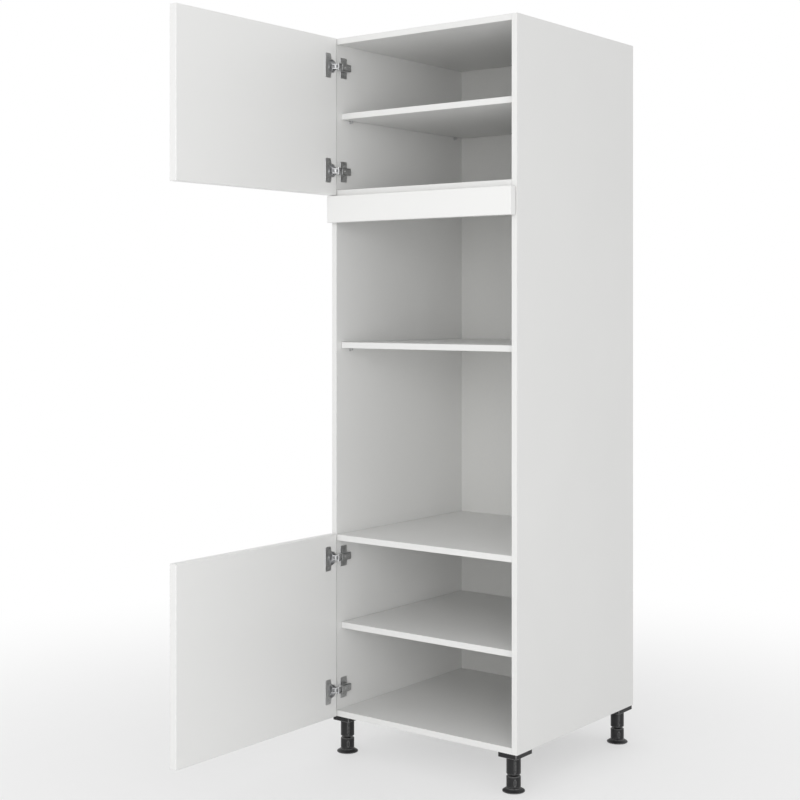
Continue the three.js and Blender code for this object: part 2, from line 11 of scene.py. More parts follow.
import bmesh
import bpy
import numpy as np
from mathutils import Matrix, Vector


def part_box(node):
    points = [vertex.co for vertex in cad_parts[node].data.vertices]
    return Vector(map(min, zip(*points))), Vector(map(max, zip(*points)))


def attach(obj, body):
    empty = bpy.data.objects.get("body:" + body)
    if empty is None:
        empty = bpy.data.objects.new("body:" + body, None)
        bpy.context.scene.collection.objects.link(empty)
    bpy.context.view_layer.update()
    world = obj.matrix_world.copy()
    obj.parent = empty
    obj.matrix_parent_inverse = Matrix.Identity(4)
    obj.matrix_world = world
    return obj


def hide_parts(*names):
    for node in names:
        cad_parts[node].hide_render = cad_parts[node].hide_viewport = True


bl_info = {
    "name": "Tall oven housing unit",
    "version": (1, 0, 0),
    "blender": (4, 5, 0),
    "location": "3D View > Sidebar > Oven housing",
    "description": "Boards, fronts, hinges, shelf pins and legs of a tall oven housing unit",
    "category": "Object",
}

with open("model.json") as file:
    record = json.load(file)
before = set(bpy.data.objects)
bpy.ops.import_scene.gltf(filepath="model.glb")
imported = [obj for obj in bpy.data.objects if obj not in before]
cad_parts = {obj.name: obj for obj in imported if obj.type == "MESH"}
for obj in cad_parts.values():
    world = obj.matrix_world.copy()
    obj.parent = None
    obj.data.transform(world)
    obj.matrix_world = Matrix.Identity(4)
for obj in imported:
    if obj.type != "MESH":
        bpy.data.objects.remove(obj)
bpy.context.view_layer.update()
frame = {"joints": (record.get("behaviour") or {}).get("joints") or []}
MM = 0.001
TURN = 2 * math.pi
FRAME_PIXELS = 800                 # width and height of the picture

DOORS = ("top_door", "bottom_door")
PLACES = ("upper", "lower")
CORNERS = ("front_left", "front_right", "rear_left", "rear_right")
PIN_ROWS = ("lower_shelf_pin", "divider_pin", "top_shelf_pin")
SIDES = ((-1, "left_side_panel"), (1, "right_side_panel"))
FIXED_BOARDS = ("bottom_panel", "oven_base_shelf", "upper_fixed_shelf", "top_panel")
LOOSE_SHELVES = ("lower_adjustable_shelf", "niche_divider_shelf", "top_adjustable_shelf")


# ---- sizes ----------------------------------------------------------------------

CREASE = 40                        # degrees above which an edge is sharp
AXIS_HOLE = 0.1 * MM               # radius at which a turned profile ends by its axis

# strips beside an edge where the edge mark fades out: rubbing on boards and fronts, scuffing and
# a painted highlight on the black plastic
EDGE_STRIP = 1.2 * MM
FRONT_STRIP = 3 * MM
SIDE_STRIP = 0.8 * MM
BACK_STRIP = 0.6 * MM
BAND_STRIP = 0.2 * MM
LINK_STRIP = 0.2 * MM
FINE_STRIP = 0.3 * MM              # on the other small pieces

# boards and fronts
JOINT_GAP = 0.3 * MM               # board's end to the side panel
BAND_SEAM = 0.05 * MM              # board to its edge band
BACK_ROUND = 0.3 * MM
NAIL_PROUD = 0.4 * MM              # nail's head over the back panel
NAIL_INSET = 4.5 * MM              # back panel's side to the upright row of nails
NAIL_ROW_END = 30 * MM             # back panel's lower and upper end to that row's ends
NAIL_BOARD_END = 120 * MM          # back panel's side to the nails along a board
BORE_EXTRA = 0.4 * MM              # depth of a door's bore below the cup
BORE_MOUTH = 2 * MM                # what its cutter stands out of the door

# hinge cup; across is measured from the door's hinge edge, deep from its inner face
CUP_ACROSS = 20.5 * MM
CUP_RADIUS = 17.5 * MM
CUP_DEPTH = 13.5 * MM
CUP_FIT = 0.15 * MM
CUP_MOUTH = 16.3 * MM
CUP_FLOOR = 12.5 * MM
CUP_ROUND = 2.2 * MM
CUP_PIN = (1.2 * MM, 10.6 * MM)    # radius and half length
OUTER_PIN = (8 * MM, 8.25 * MM)    # across and deep
INNER_PIN = (12.5 * MM, 3 * MM)
FLANGE_SEAT = 0.3 * MM
FLANGE_FACE = 1.3 * MM
FLANGE_RIM = 18.4 * MM
EAR_CENTRE = -15 * MM
EAR_HALF_WIDTH = 11 * MM
EAR_HALF_HEIGHT = 33 * MM
EAR_CORNER = 3 * MM
FLANGE_SCREW = 22.5 * MM

# hinge links
LINK_HALF = 1.7 * MM               # half width of a bar
LINK_ROUND = 0.3 * MM
LINK_BEND = (-6.2 * MM, -12.2 * MM)      # outer link's knots, from its pivot on the arm
LINK_SHOULDER = (-2.8 * MM, -9.5 * MM)
PIVOT_EYE = 2.55 * MM
CUP_EYE = 2.05 * MM
CHEEK = (4.4 * MM, 6.8 * MM)       # inner link's cheeks, from the hinge's middle height
BARREL = (2.4 * MM, 4.6 * MM)      # radius and half length

# hinge arm; left and right are measured from the outer face of the left side panel
ARM_LEFT = 19.5 * MM
ARM_RIGHT = 31 * MM
ARM_HEEL = 7 * MM
ARM_BACK = 44.5 * MM
ARM_HALF = 9.5 * MM
ARM_WALL = 1.8 * MM
ARM_ROUND = 0.5 * MM
ARM_CORNER = 2.5 * MM
NOSE = 2.9 * MM
NOSE_START = math.radians(155)     # round the outer pivot, where the nose begins
WEB_CORNER = 2 * MM
RIDGE = (19.5 * MM, 28 * MM)       # front and rear end of the raised ridge
RIDGE_HALF = 3.4 * MM
RIDGE_CORNER = 3.3 * MM
RIDGE_RISE = 0.35 * MM
RIDGE_SINK = 1 * MM
SIDE_SCREW = 15 * MM
FIX_SCREW = 33.5 * MM

# hinge mounting plate; pairs are its parts' front and rear ends
PLATE = (14.5 * MM, 41.5 * MM)
PLATE_HALF = 28 * MM
PLATE_THICK = 2 * MM
PLATE_SCREW = 16 * MM
BLOCK = (10 * MM, 43 * MM)
BLOCK_HALF = 6.8 * MM
BLOCK_RISE = 8 * MM
HUMP = (27 * MM, 41 * MM)
HUMP_GAP = 0.3 * MM

# legs
LEG_PLATE = 12 * MM                # height of the plate's skirt
LEG_ROOF = 3 * MM
LEG_WALL = 2.5 * MM
LEG_CORNER = 4.2 * MM
LEG_SCREW = 8 * MM                 # plate's edge to its screws
RIB_HALF = 1 * MM
RIB_LIFT = 0.4 * MM                # rib's foot over the skirt's
RIB_SINK = 0.5 * MM                # rib's head in the roof
TUBE_RADIUS = 18.25 * MM           # tube and collar alike
TUBE_BORE = 9.6 * MM
TUBE_END = 1.5 * MM                # rounding of the lower ends
TUBE_SIDES = 180
COLLAR_BORE = 9.7 * MM
COLLAR_SHOULDER = 3 * MM
SLOT_DEPTH = 1.5 * MM
SLOT_SLOPE = 0.4 * MM
SLOT_INSET = 5 * MM                # piece's end to the slot
SLOT_HEAD = 1.5 * MM               # plate to the tube's slot
TUBE_SLOT = 4 * MM                 # width
COLLAR_SLOT = 5 * MM
THREAD_RADIUS = 8.8 * MM
THREAD_DEPTH = 0.2 * MM            # to either side of its radius
THREAD_PITCH = 4 * MM


# ---- values a user would change -------------------------------------------------


class OvenHousingBoards(bpy.types.PropertyGroup):
    """Sizes and colours of the boards and fronts."""

    board_colour: bpy.props.FloatVectorProperty(
        name="Board colour", description="Melamine face of the carcass", subtype="COLOR",
        size=3, min=0, max=1, default=(0.80, 0.80, 0.79))
    front_colour: bpy.props.FloatVectorProperty(
        name="Front colour", description="Foil of the doors and the fascia", subtype="COLOR",
        size=3, min=0, max=1, default=(0.84, 0.84, 0.83))
    back_colour: bpy.props.FloatVectorProperty(
        name="Back colour", description="Lacquer of the back panel", subtype="COLOR",
        size=3, min=0, max=1, default=(0.76, 0.76, 0.745))
    band: bpy.props.FloatProperty(
        name="Edge band", description="Thickness of the band on a board's front edge",
        subtype="DISTANCE", unit="LENGTH", default=0.0008, min=0.0003, max=0.003)
    board_round: bpy.props.FloatProperty(
        name="Board rounding", description="Radius of a board's edges",
        subtype="DISTANCE", unit="LENGTH", default=0.0004, min=0.0001, max=0.002)
    front_round: bpy.props.FloatProperty(
        name="Front rounding", description="Radius of the edges of a door",
        subtype="DISTANCE", unit="LENGTH", default=0.0015, min=0.0005, max=0.004)


class OvenHousingFittings(bpy.types.PropertyGroup):
    """Colours of the hinges, pins and legs."""

    plating: bpy.props.FloatVectorProperty(
        name="Plating", description="Nickel on the pressed steel", subtype="COLOR",
        size=3, min=0, max=1, default=(0.66, 0.665, 0.67))
    link_plating: bpy.props.FloatVectorProperty(
        name="Link plating", description="Nickel on the links and screws", subtype="COLOR",
        size=3, min=0, max=1, default=(0.52, 0.525, 0.53))
    leg_colour: bpy.props.FloatVectorProperty(
        name="Leg colour", description="Plastic of the legs", subtype="COLOR",
        size=3, min=0, max=1, default=(0.012, 0.012, 0.013))


class OvenHousingStage(bpy.types.PropertyGroup):
    """Camera, light and floor."""

    focal_pixels: bpy.props.FloatProperty(
        name="Focal length", description="Focal length in pixels of an 800 pixel wide frame",
        default=1467.0, min=300, max=5000)
    camera_place: bpy.props.FloatVectorProperty(
        name="Camera place", description="Where the camera stands", subtype="TRANSLATION",
        unit="LENGTH", size=3, default=(2.2897, -3.0497, 1.2102))
    camera_turn: bpy.props.FloatProperty(
        name="Camera turn", description="Turn of the view to the left of straight ahead",
        subtype="ANGLE", unit="ROTATION", default=math.radians(37.685))
    horizon_row: bpy.props.FloatProperty(
        name="Horizon row", description="Row of the horizon in an 800 pixel high frame",
        default=307.3, min=0, max=800)
    key_power: bpy.props.FloatProperty(
        name="Key light", description="Power of the large soft light", default=40.0, min=0)
    fill_power: bpy.props.FloatProperty(
        name="Fill light", description="Power of the light from the right", default=47.0, min=0)
    sky_level: bpy.props.FloatProperty(
        name="Sky level", description="Even light from all sides", default=0.71, min=0)


# ---- shapes as whole arrays -----------------------------------------------------


def arc(centre, radius, start, end, count):
    """Points centre + radius * (cos a, sin a), with a going from start to end."""
    angles = np.linspace(start, end, count)
    return np.asarray(centre) + radius * np.column_stack([np.cos(angles), np.sin(angles)])


def rectangle(u0, u1, v0, v1, corner, steps=5):
    """Anticlockwise outline of a rectangle whose corners are quarter circles."""
    centres = [(u1 - corner, v1 - corner), (u0 + corner, v1 - corner),
               (u0 + corner, v0 + corner), (u1 - corner, v0 + corner)]
    return np.concatenate([
        arc(centre, corner, index * TURN / 4, (index + 1) * TURN / 4, steps + 1)
        for index, centre in enumerate(centres)])


def outward_normals(points):
    """Mitred outward normals of a closed outline that runs anticlockwise.

    The normal of each side is its direction turned a quarter clockwise, and a corner gets
    the sum of its two sides' normals divided by one plus their dot product.
    """
    ahead = np.roll(points, -1, 0) - points
    side = np.stack([ahead[:, 1], -ahead[:, 0]], 1)
    side /= np.linalg.norm(side, axis=1, keepdims=True)
    before = np.roll(side, 1, 0)
    return (side + before) / (1 + (side * before).sum(1, keepdims=True))


def split_sides(points, reach):
    """The outline with a point added at `reach` from each corner of every long side."""
    ahead = np.roll(points, -1, 0) - points
    length = np.linalg.norm(ahead, axis=1)
    parts = []
    marks = []
    for point, step, size in zip(points, ahead, length):
        parts.append(point)
        marks.append(1.0)
        if size > 2.5 * reach:
            parts += [point + step * (reach / size), point + step * (1 - reach / size)]
            marks += [0.0, 0.0]
    return np.array(parts), np.array(marks)


def plate(outline, low, high, radius, steps=3, strip=EDGE_STRIP):
    """A flat piece: an outline carried from low to high, its rims rounded by a quarter circle.

    Ring k is the outline drawn in by radius * (1 - sin t) at the height radius * (1 - cos t)
    from the face. One more ring on each face and on the side, `strip` further on, bounds
    where the edge mark falls from one to nothing. A ring that is drawn in by more than a
    corner's radius meets in one point there. Returns vertices and edge marks.
    """
    points, marks = split_sides(outline, strip)
    normals = outward_normals(points)
    angles = np.linspace(0, TURN / 4, steps + 1)
    inset = np.concatenate([[radius + strip], radius * (1 - np.sin(angles)), [0]])
    rise = np.concatenate([[0], radius * (1 - np.cos(angles)), [radius + strip]])
    edge = np.concatenate([[0], np.ones(steps + 1), [0]])
    if high - low < 2 * (radius + strip) + 1e-6:
        inset, rise, edge = inset[:-1], rise[:-1], edge[:-1]
    inset = np.concatenate([inset, inset[::-1]])
    height = np.concatenate([low + rise, (high - rise)[::-1]])
    edge = np.concatenate([edge, edge[::-1]])
    room = inset[:, None, None]
    ring = points[None] - normals[None] * room
    ring = np.clip(ring, points.min(0) + room, points.max(0) - room)
    levels = np.broadcast_to(height[:, None, None], (*ring.shape[:2], 1))
    mark = np.maximum(edge[:, None], marks[None] * (inset[:, None] < radius + strip / 2))
    return np.concatenate([ring, levels], 2), mark


def ring_faces(rings, sides, first, closed):
    """Quads between neighbouring rings, with a flat face over each end of an open tube."""
    row, column = np.meshgrid(np.arange(rings - 1 + closed), np.arange(sides), indexing="ij")
    after = (column + 1) % sides
    above = (row + 1) % rings
    quads = np.stack([row * sides + column, row * sides + after,
                      above * sides + after, above * sides + column], -1).reshape(-1, 4)
    faces = (quads + first).tolist()
    if not closed:
        faces.append((np.arange(sides)[::-1] + first).tolist())
        faces.append((np.arange(sides) + (rings - 1) * sides + first).tolist())
    return faces


def lathe(profile, sides=48, depth=None):
    """A profile of (radius, height) turned about the third axis.

    Vertex (i, j) is (r_i cos a_j, r_i sin a_j, h_i). `depth`, where given, is a function of
    radius, angle and height arrays that returns how far each vertex is drawn in.
    """
    profile = np.asarray(profile, float)
    angles = np.arange(sides) * TURN / sides
    radius = np.broadcast_to(profile[:, 0:1], (len(profile), sides)).copy()
    height = np.broadcast_to(profile[:, 1:2], radius.shape)
    if depth is not None:
        radius -= depth(radius, angles[None], height)
    return np.stack([radius * np.cos(angles), radius * np.sin(angles), height], 2)


def rod(radius, half_length, sides=24):
    """A plain round rod about the middle of the third axis."""
    return lathe([(radius, -half_length), (radius, half_length)], sides)


def lay(rings, axis, centre=(0, 0, 0)):
    """Turns local (u, v, w) so that w lies along `axis`, and moves it to centre."""
    u, v, w = rings[..., 0], rings[..., 1], rings[..., 2]
    order = {"z": (u, v, w), "-z": (u, -v, -w), "x": (w, u, v), "-x": (-w, -u, v),
             "y": (v, w, u)}
    return np.stack(order[axis], -1) + np.asarray(centre, float)


def upright_plate(outline, low, high, radius):
    """A plate whose outline lies in the (y, z) plane and that reaches from low to high x."""
    rings, mark = plate(outline, low, high, radius, strip=FINE_STRIP)
    return lay(rings, "x"), mark


def span(middle, sign, near, far):
    """Lower and upper end of a stretch that lies near to far from the middle, on one side."""
    return sorted((middle + sign * near, middle + sign * far))


class Shape:
    """Closed surfaces gathered into one mesh."""

    def __init__(self):
        self.points = []
        self.faces = []
        self.edge = []
        self.count = 0

    def add(self, rings, mark=None, closed=False):
        """Adds a tube of rings, or a ring of rings where closed is true."""
        rows, sides = rings.shape[:2]
        self.faces += ring_faces(rows, sides, self.count, closed)
        self.points.append(rings.reshape(-1, 3))
        marks = np.zeros(rows * sides) if mark is None else np.asarray(mark).reshape(-1)
        self.edge.append(marks)
        self.count += rows * sides
        return self

    def slab(self, low, high, radius, strip=EDGE_STRIP):
        """A block from corner to corner with rounded edges."""
        outline = rectangle(low[0], high[0], low[1], high[1], radius * 1.05)
        return self.add(*plate(outline, low[2], high[2], radius, strip=strip))

    def mesh(self, name, crease=CREASE):
        """The Blender object, with smooth faces and sharp edges above the crease angle."""
        data = bpy.data.meshes.new(name)
        data.from_pydata(np.concatenate(self.points).tolist(), [], self.faces)
        attribute = data.attributes.new("edge", "FLOAT", "POINT")
        attribute.data.foreach_set("value", np.concatenate(self.edge).astype(np.float32))
        solid = bmesh.new()
        solid.from_mesh(data)
        bmesh.ops.remove_doubles(solid, verts=solid.verts, dist=1e-6)
        solid.to_mesh(data)
        solid.free()
        data.validate()
        data.polygons.foreach_set("use_smooth", np.ones(len(data.polygons), bool))
        data.set_sharp_from_angle(angle=math.radians(crease))
        piece = bpy.data.objects.new(name, data)
        bpy.context.scene.collection.objects.link(piece)
        return piece


def screw_head(radius, dome, recess, sides=40, rings=14):
    """A screw head as a height over a disc, with a cross pressed into it; sizes in mm.

    height = dome * (1 - (r / radius)^2) less recess * cross, where cross is one where a
    point lies within an arm's half width of either diameter and inside 0.62 radius.
    """
    radius, dome, recess = radius * MM, dome * MM, recess * MM
    distances = np.linspace(radius, radius * 0.02, rings)
    angles = np.arange(sides) * TURN / sides + TURN / (2 * sides)
    r, a = np.meshgrid(distances, angles, indexing="ij")
    x, y = r * np.cos(a), r * np.sin(a)
    arm, reach, soft = radius * 0.17, radius * 0.62, radius * 0.06
    near = np.minimum(np.abs(x), np.abs(y))
    cross = 1 / (1 + np.exp((near - arm) / soft * 2)) / (1 + np.exp((r - reach) / soft))
    z = dome * (1 - (r / radius) ** 2) - recess * cross
    top = np.stack([x, y, z], 2)
    foot = np.stack([x[0], y[0], np.full(sides, -0.6 * radius)], 1)[None]
    return np.concatenate([foot, top])


# ---- finishes -------------------------------------------------------------------


class Value:
    """A shader socket. Arithmetic on it adds the Math nodes that work it out."""

    def __init__(self, nodes, node, output=0):
        self.nodes = nodes
        self.node = node
        self.socket = node.outputs[output]

    def other(self, output):
        """Another output of the same node."""
        return Value(self.nodes, self.node, output)

    def _math(self, operation, first, second):
        return self.nodes.node("ShaderNodeMath", {"operation": operation},
                               {0: first, 1: second})

    def larger(self, other):
        """The larger of two values."""
        return self._math("MAXIMUM", self, other)

    def __add__(self, other):
        return self._math("ADD", self, other)

    def __sub__(self, other):
        return self._math("SUBTRACT", self, other)

    def __rsub__(self, other):
        return self._math("SUBTRACT", other, self)

    def __mul__(self, other):
        return self._math("MULTIPLY", self, other)

    __radd__ = __add__
    __rmul__ = __mul__


class Nodes:
    """A node tree and the nodes that this file adds to one."""

    def __init__(self, tree):
        self.tree = tree

    def node(self, kind, settings=None, inputs=None, output=0):
        """Adds a node, its settings first and then the values or links of its sockets."""
        made = self.tree.nodes.new(kind)
        for name, value in (settings or {}).items():
            if name == "stops":
                ramp = made.color_ramp.elements
                while len(ramp) < len(value):
                    ramp.new(0.5)
                for stop, (place, level) in zip(ramp, value):
                    stop.position = place
                    stop.color = (level, level, level, 1)
            else:
                setattr(made, name, value)
        for key, value in (inputs or {}).items():
            self.feed(made.inputs[key], value)
        return Value(self, made, output)

    def feed(self, socket, value):
        """Links a Value to a socket, or sets a plain number or colour there."""
        if isinstance(value, Value):
            self.tree.links.new(value.socket, socket)
        else:
            socket.default_value = value

    def seen(self):
        """One for the rays that show a surface: straight, mirrored or let through."""
        path = self.node("ShaderNodeLightPath")
        rays = path.other("Is Camera Ray")
        for ray in ("Is Glossy Ray", "Is Transmission Ray"):
            rays = rays.larger(path.other(ray))
        return rays

    def coordinates(self, scale=(1, 1, 1)):
        """The piece's own coordinates, stretched by scale."""
        place = self.node("ShaderNodeTexCoord").other("Object")
        return self.node("ShaderNodeMapping", {}, {"Vector": place, "Scale": scale})

    def noise(self, where, scale, detail=3.0, roughness=0.55):
        """Fractal noise from nothing to one."""
        return self.node("ShaderNodeTexNoise", {},
                         {"Vector": where, "Scale": scale, "Detail": detail,
                          "Roughness": roughness})

    def ramp(self, value, stops):
        """A value passed through grey stops of (place, level)."""
        return self.node("ShaderNodeValToRGB", {"stops": stops}, {"Fac": value})

    def blend(self, factor, first, second):
        """Mixes two colours."""
        return self.node("ShaderNodeMix", {"data_type": "RGBA"},
                         {"Factor": factor, 6: first, 7: second}, 2)

    def attribute(self, name):
        """A number stored on the mesh's points."""
        return self.node("ShaderNodeAttribute", {"attribute_name": name}).other("Fac")

    def bump(self, height, distance):
        """Turns a height into a normal."""
        return self.node("ShaderNodeBump", {}, {"Height": height, "Distance": distance})


class Finish(Nodes):
    """One procedural material around a Principled shader."""

    def __init__(self, name):
        self.material = bpy.data.materials.new(name)
        self.material.use_nodes = True
        super().__init__(self.material.node_tree)
        self.shader = self.tree.nodes["Principled BSDF"]

    def set(self, **sockets):
        """Feeds the shader's sockets; underscores in the names stand for spaces."""
        for name, value in sockets.items():
            socket = name.replace("_", " ").title().replace("Ior", "IOR")
            self.feed(self.shader.inputs[socket], value)


def rgba(colour, gain=1.0):
    """A colour with its alpha, each channel times gain."""
    return (*(min(1.0, channel * gain) for channel in colour), 1.0)


def melamine(name, colour, grain):
    """Melamine-faced board: faint cloudiness, a fine pearl grain and rubbed edges."""
    finish = Finish(name)
    place = finish.coordinates()
    cloud = finish.noise(place, 3.5, 2.0)
    speck = finish.ramp(finish.noise(place, 900.0, 1.0), [(0.30, 0.0), (0.72, 1.0)])
    edge = finish.attribute("edge")
    rub = edge * finish.ramp(finish.noise(place, 55.0), [(0.42, 0.0), (0.62, 1.0)])
    tone = finish.blend(cloud, rgba(colour, 0.975), rgba(colour, 1.015))
    tone = finish.blend(speck * 0.10, tone, rgba(colour, 0.93))
    tone = finish.blend(rub * 0.35, tone, rgba(colour, 0.86))
    smear = finish.noise(finish.coordinates((1.0, 1.0, 0.35)), 9.0, 4.0)
    pearl = finish.noise(place, 420.0, 2.0)
    finish.set(base_color=tone, roughness=0.40 + smear * 0.14 + rub * 0.15,
               normal=finish.bump(pearl, grain), specular_ior_level=0.42)
    return finish.material


def foil_front(name, colour):
    """Foil-wrapped front: smooth, with a slight orange peel and faint hand marks."""
    finish = Finish(name)
    place = finish.coordinates()
    cloud = finish.noise(place, 2.2, 2.0)
    edge = finish.attribute("edge")
    rub = edge * finish.ramp(finish.noise(place, 48.0), [(0.46, 0.0), (0.66, 1.0)])
    tone = finish.blend(cloud, rgba(colour, 0.99), rgba(colour, 1.005))
    tone = finish.blend(rub * 0.3, tone, rgba(colour, 0.88))
    hands = finish.ramp(finish.noise(place, 7.0, 5.0, 0.6), [(0.48, 0.0), (0.70, 1.0)])
    peel = finish.noise(place, 420.0, 1.0)
    finish.set(base_color=tone, roughness=0.34 + hands * 0.03 + rub * 0.12,
               normal=finish.bump(peel, 0.015 * MM), specular_ior_level=0.42,
               coat_weight=0.08, coat_roughness=0.3)
    return finish.material


def hardboard(name, colour):
    """Lacquered hardboard: a fine fibre mottling under the lacquer."""
    finish = Finish(name)
    place = finish.coordinates()
    fibre = finish.noise(finish.coordinates((1.0, 1.0, 0.4)), 240.0, 4.0, 0.7)
    cloud = finish.noise(place, 4.0, 2.0)
    tone = finish.blend(fibre, rgba(colour, 0.95), rgba(colour, 1.02))
    tone = finish.blend(cloud * 0.3, tone, rgba(colour, 0.97))
    finish.set(base_color=tone, roughness=0.48 + fibre * 0.16,
               normal=finish.bump(fibre, 0.06 * MM), specular_ior_level=0.35)
    return finish.material


def plated_steel(name, colour, base_roughness):
    """Nickel-plated pressed steel: press streaks, dull patches and bright worn edges."""
    finish = Finish(name)
    place = finish.coordinates()
    streak = finish.noise(finish.coordinates((1.0, 0.12, 1.0)), 1400.0, 2.0)
    patch = finish.noise(place, 120.0, 4.0)
    grit = finish.noise(place, 2600.0, 1.0)
    edge = finish.attribute("edge")
    tone = finish.blend(patch, rgba(colour, 0.86), rgba(colour, 1.05))
    tone = finish.blend(edge * 0.5, tone, rgba(colour, 1.18))
    finish.set(base_color=tone, metallic=1.0,
               roughness=base_roughness + streak * 0.14 + patch * 0.10 - edge * 0.06,
               normal=finish.bump(streak * 0.5 + grit * 0.5, 0.02 * MM))
    return finish.material


def black_plastic(name, colour):
    """Moulded black plastic: spark grain, pale edges that are partly scuffs and partly a painted
    highlight, and a little dust.
    """
    finish = Finish(name)
    place = finish.coordinates()
    grain = finish.noise(place, 1500.0, 2.0)
    patch = finish.noise(place, 60.0, 4.0)
    edge = finish.attribute("edge")
    # pale grey on the marked edges: partly scuffing, partly a painted highlight that makes the
    # slots and rims read as light lines
    scuff_and_highlight = edge * finish.ramp(finish.noise(place, 190.0), [(0.30, 0.35), (0.60, 1.0)])
    dust = finish.ramp(finish.noise(place, 34.0, 5.0, 0.65), [(0.45, 0.0), (0.75, 1.0)])
    tone = finish.blend(patch, rgba(colour, 0.7), rgba(colour, 1.3))
    tone = finish.blend(dust * 0.12, tone, (0.05, 0.05, 0.048, 1))
    tone = finish.blend(scuff_and_highlight * 0.85, tone, (0.22, 0.22, 0.22, 1))
    finish.set(base_color=tone, roughness=0.34 + patch * 0.2 + dust * 0.15,
               normal=finish.bump(grain, 0.04 * MM), specular_ior_level=0.34)
    return finish.material


MATERIALS = {}


def material(key):
    """The finish of that name, made once."""
    if key not in MATERIALS:
        boards = bpy.context.scene.oven_housing_boards
        fittings = bpy.context.scene.oven_housing_fittings
        makers = {
            "board": lambda: melamine("melamine_white", boards.board_colour, 0.04 * MM),
            "band": lambda: melamine("edge_band_white", boards.board_colour, 0.02 * MM),
            "front": lambda: foil_front("foil_front_white", boards.front_colour),
            "back": lambda: hardboard("lacquered_hardboard", boards.back_colour),
            "steel": lambda: plated_steel("nickel_plated_steel", fittings.plating, 0.26),
            "link": lambda: plated_steel("nickel_plated_link", fittings.link_plating, 0.32),
            "plastic": lambda: black_plastic("moulded_black_plastic", fittings.leg_colour),
        }
        MATERIALS[key] = makers[key]()
    return MATERIALS[key]


# ---- placing --------------------------------------------------------------------


def place_piece(piece, body, finish, nodes=()):
    """Gives a finished piece its material, its body and the nodes it stands for."""
    piece.data.materials.append(material(finish))
    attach(piece, body)
    if nodes:
        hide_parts(*nodes)


def place_heads(name, body, heads, finish="link"):
    """Screw or nail heads as one piece, each given as its surface, its axis and its seat."""
    shape = Shape()
    for surface, axis, seat in heads:
        shape.add(lay(surface, axis, seat))
    place_piece(shape.mesh(name), body, finish)


def corners(node):
    """Lowest and highest corner of a node as arrays."""
    low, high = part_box(node)
    return np.array(low), np.array(high)


def middle(node):
    """Middle of a node's box."""
    low, high = corners(node)
    return (low + high) / 2


def pivot(joint):
    """Where a joint's axis crosses the plan."""
    found = next(j for j in frame["joints"] if j["name"] == joint)
    return np.array(found["pos_m"][:2])


def in_door(door, across, deep):
    """A point in plan of the open door, from its hinge edge and its inner face."""
    high = corners(door)[1]
    return np.array([high[0] - deep, high[1] - across])


def cup_centre(door, place):
    """Centre of a hinge cup's mouth on the door's inner face."""
    mouth = in_door(door, CUP_ACROSS, 0)
    return np.array([*mouth, middle(f"{door}_{place}_hinge_cup")[2]])


# ---- boards and fronts ----------------------------------------------------------


def side_outline(sign, node, front):
    """Plan of a side panel: a rectangle with a step at the rear where the back panel lies."""
    low, high = corners(node)
    back_low, back_high = corners("back_panel")
    outer, inner = (low[0], high[0]) if sign < 0 else (high[0], low[0])
    step = (back_low[0] if sign < 0 else back_high[0]) + sign * JOINT_GAP
    rear = high[1]
    turned = [(outer, front), (inner, front), (inner, back_low[1]), (step, back_low[1]),
              (step, rear), (outer, rear)]
    return np.array(turned if sign < 0 else turned[::-1])


class OVENHOUSING_OT_boards(bpy.types.Operator):
    """Makes the side panels, the fixed boards and the loose shelves with their edge bands."""

    bl_idname = "ovenhousing.boards"
    bl_label = "Boards"

    def execute(self, context):
        sizes = context.scene.oven_housing_boards
        behind_band = sizes.band + BAND_SEAM
        for sign, node in SIDES:
            low, high = corners(node)
            outline = side_outline(sign, node, low[1] + behind_band)
            board = Shape().add(*plate(outline, low[2], high[2], sizes.board_round,
                                       strip=SIDE_STRIP))
            self.place_board(node, board, low, high, sizes)
        left_end = corners("left_side_panel")[1][0] + JOINT_GAP
        right_end = corners("right_side_panel")[0][0] - JOINT_GAP
        for node in FIXED_BOARDS + LOOSE_SHELVES:
            low, high = corners(node)
            low[0] = max(low[0], left_end)
            high[0] = min(high[0], right_end)
            board = Shape().slab(low + [0, behind_band, 0], high, sizes.board_round)
            self.place_board(node, board, low, high, sizes)
        return {"FINISHED"}

    @staticmethod
    def place_board(node, board, low, high, sizes):
        """Places a board and the band on its front edge, with a fine seam between them."""
        place_piece(board.mesh(node + "_board"), "root", "board", [node])
        band = Shape().slab(low, (high[0], low[1] + sizes.band, high[2]),
                            min(sizes.board_round, sizes.band * 0.4), BAND_STRIP)
        place_piece(band.mesh(node + "_edge_band"), "root", "band")


class OVENHOUSING_OT_back_panel(bpy.types.Operator):
    """Makes the back panel and the nails that hold it to the carcass."""

    bl_idname = "ovenhousing.back_panel"
    bl_label = "Back panel"

    def execute(self, context):
        low, high = corners("back_panel")
        sheet = Shape().slab(low, high - [0, NAIL_PROUD, 0], BACK_ROUND, BACK_STRIP)
        place_piece(sheet.mesh("back_panel_sheet"), "root", "back", ["back_panel"])
        head = lathe(np.array([(0.1, -1.0), (1.9, -1.0), (1.9, 0.1), (1.6, 0.3), (1.0, 0.4),
                               (0.1, 0.4)]) * MM, 24)
        places = [(x, z) for x in (low[0] + NAIL_INSET, high[0] - NAIL_INSET)
                  for z in np.linspace(low[2] + NAIL_ROW_END, high[2] - NAIL_ROW_END, 13)]
        places += [(x, middle(node)[2]) for node in FIXED_BOARDS
                   for x in np.linspace(low[0] + NAIL_BOARD_END, high[0] - NAIL_BOARD_END, 4)]
        nails = [(head, "y", (x, high[1] - NAIL_PROUD, z)) for x, z in places]
        place_heads("back_panel_nails", "root", nails, "steel")
        return {"FINISHED"}


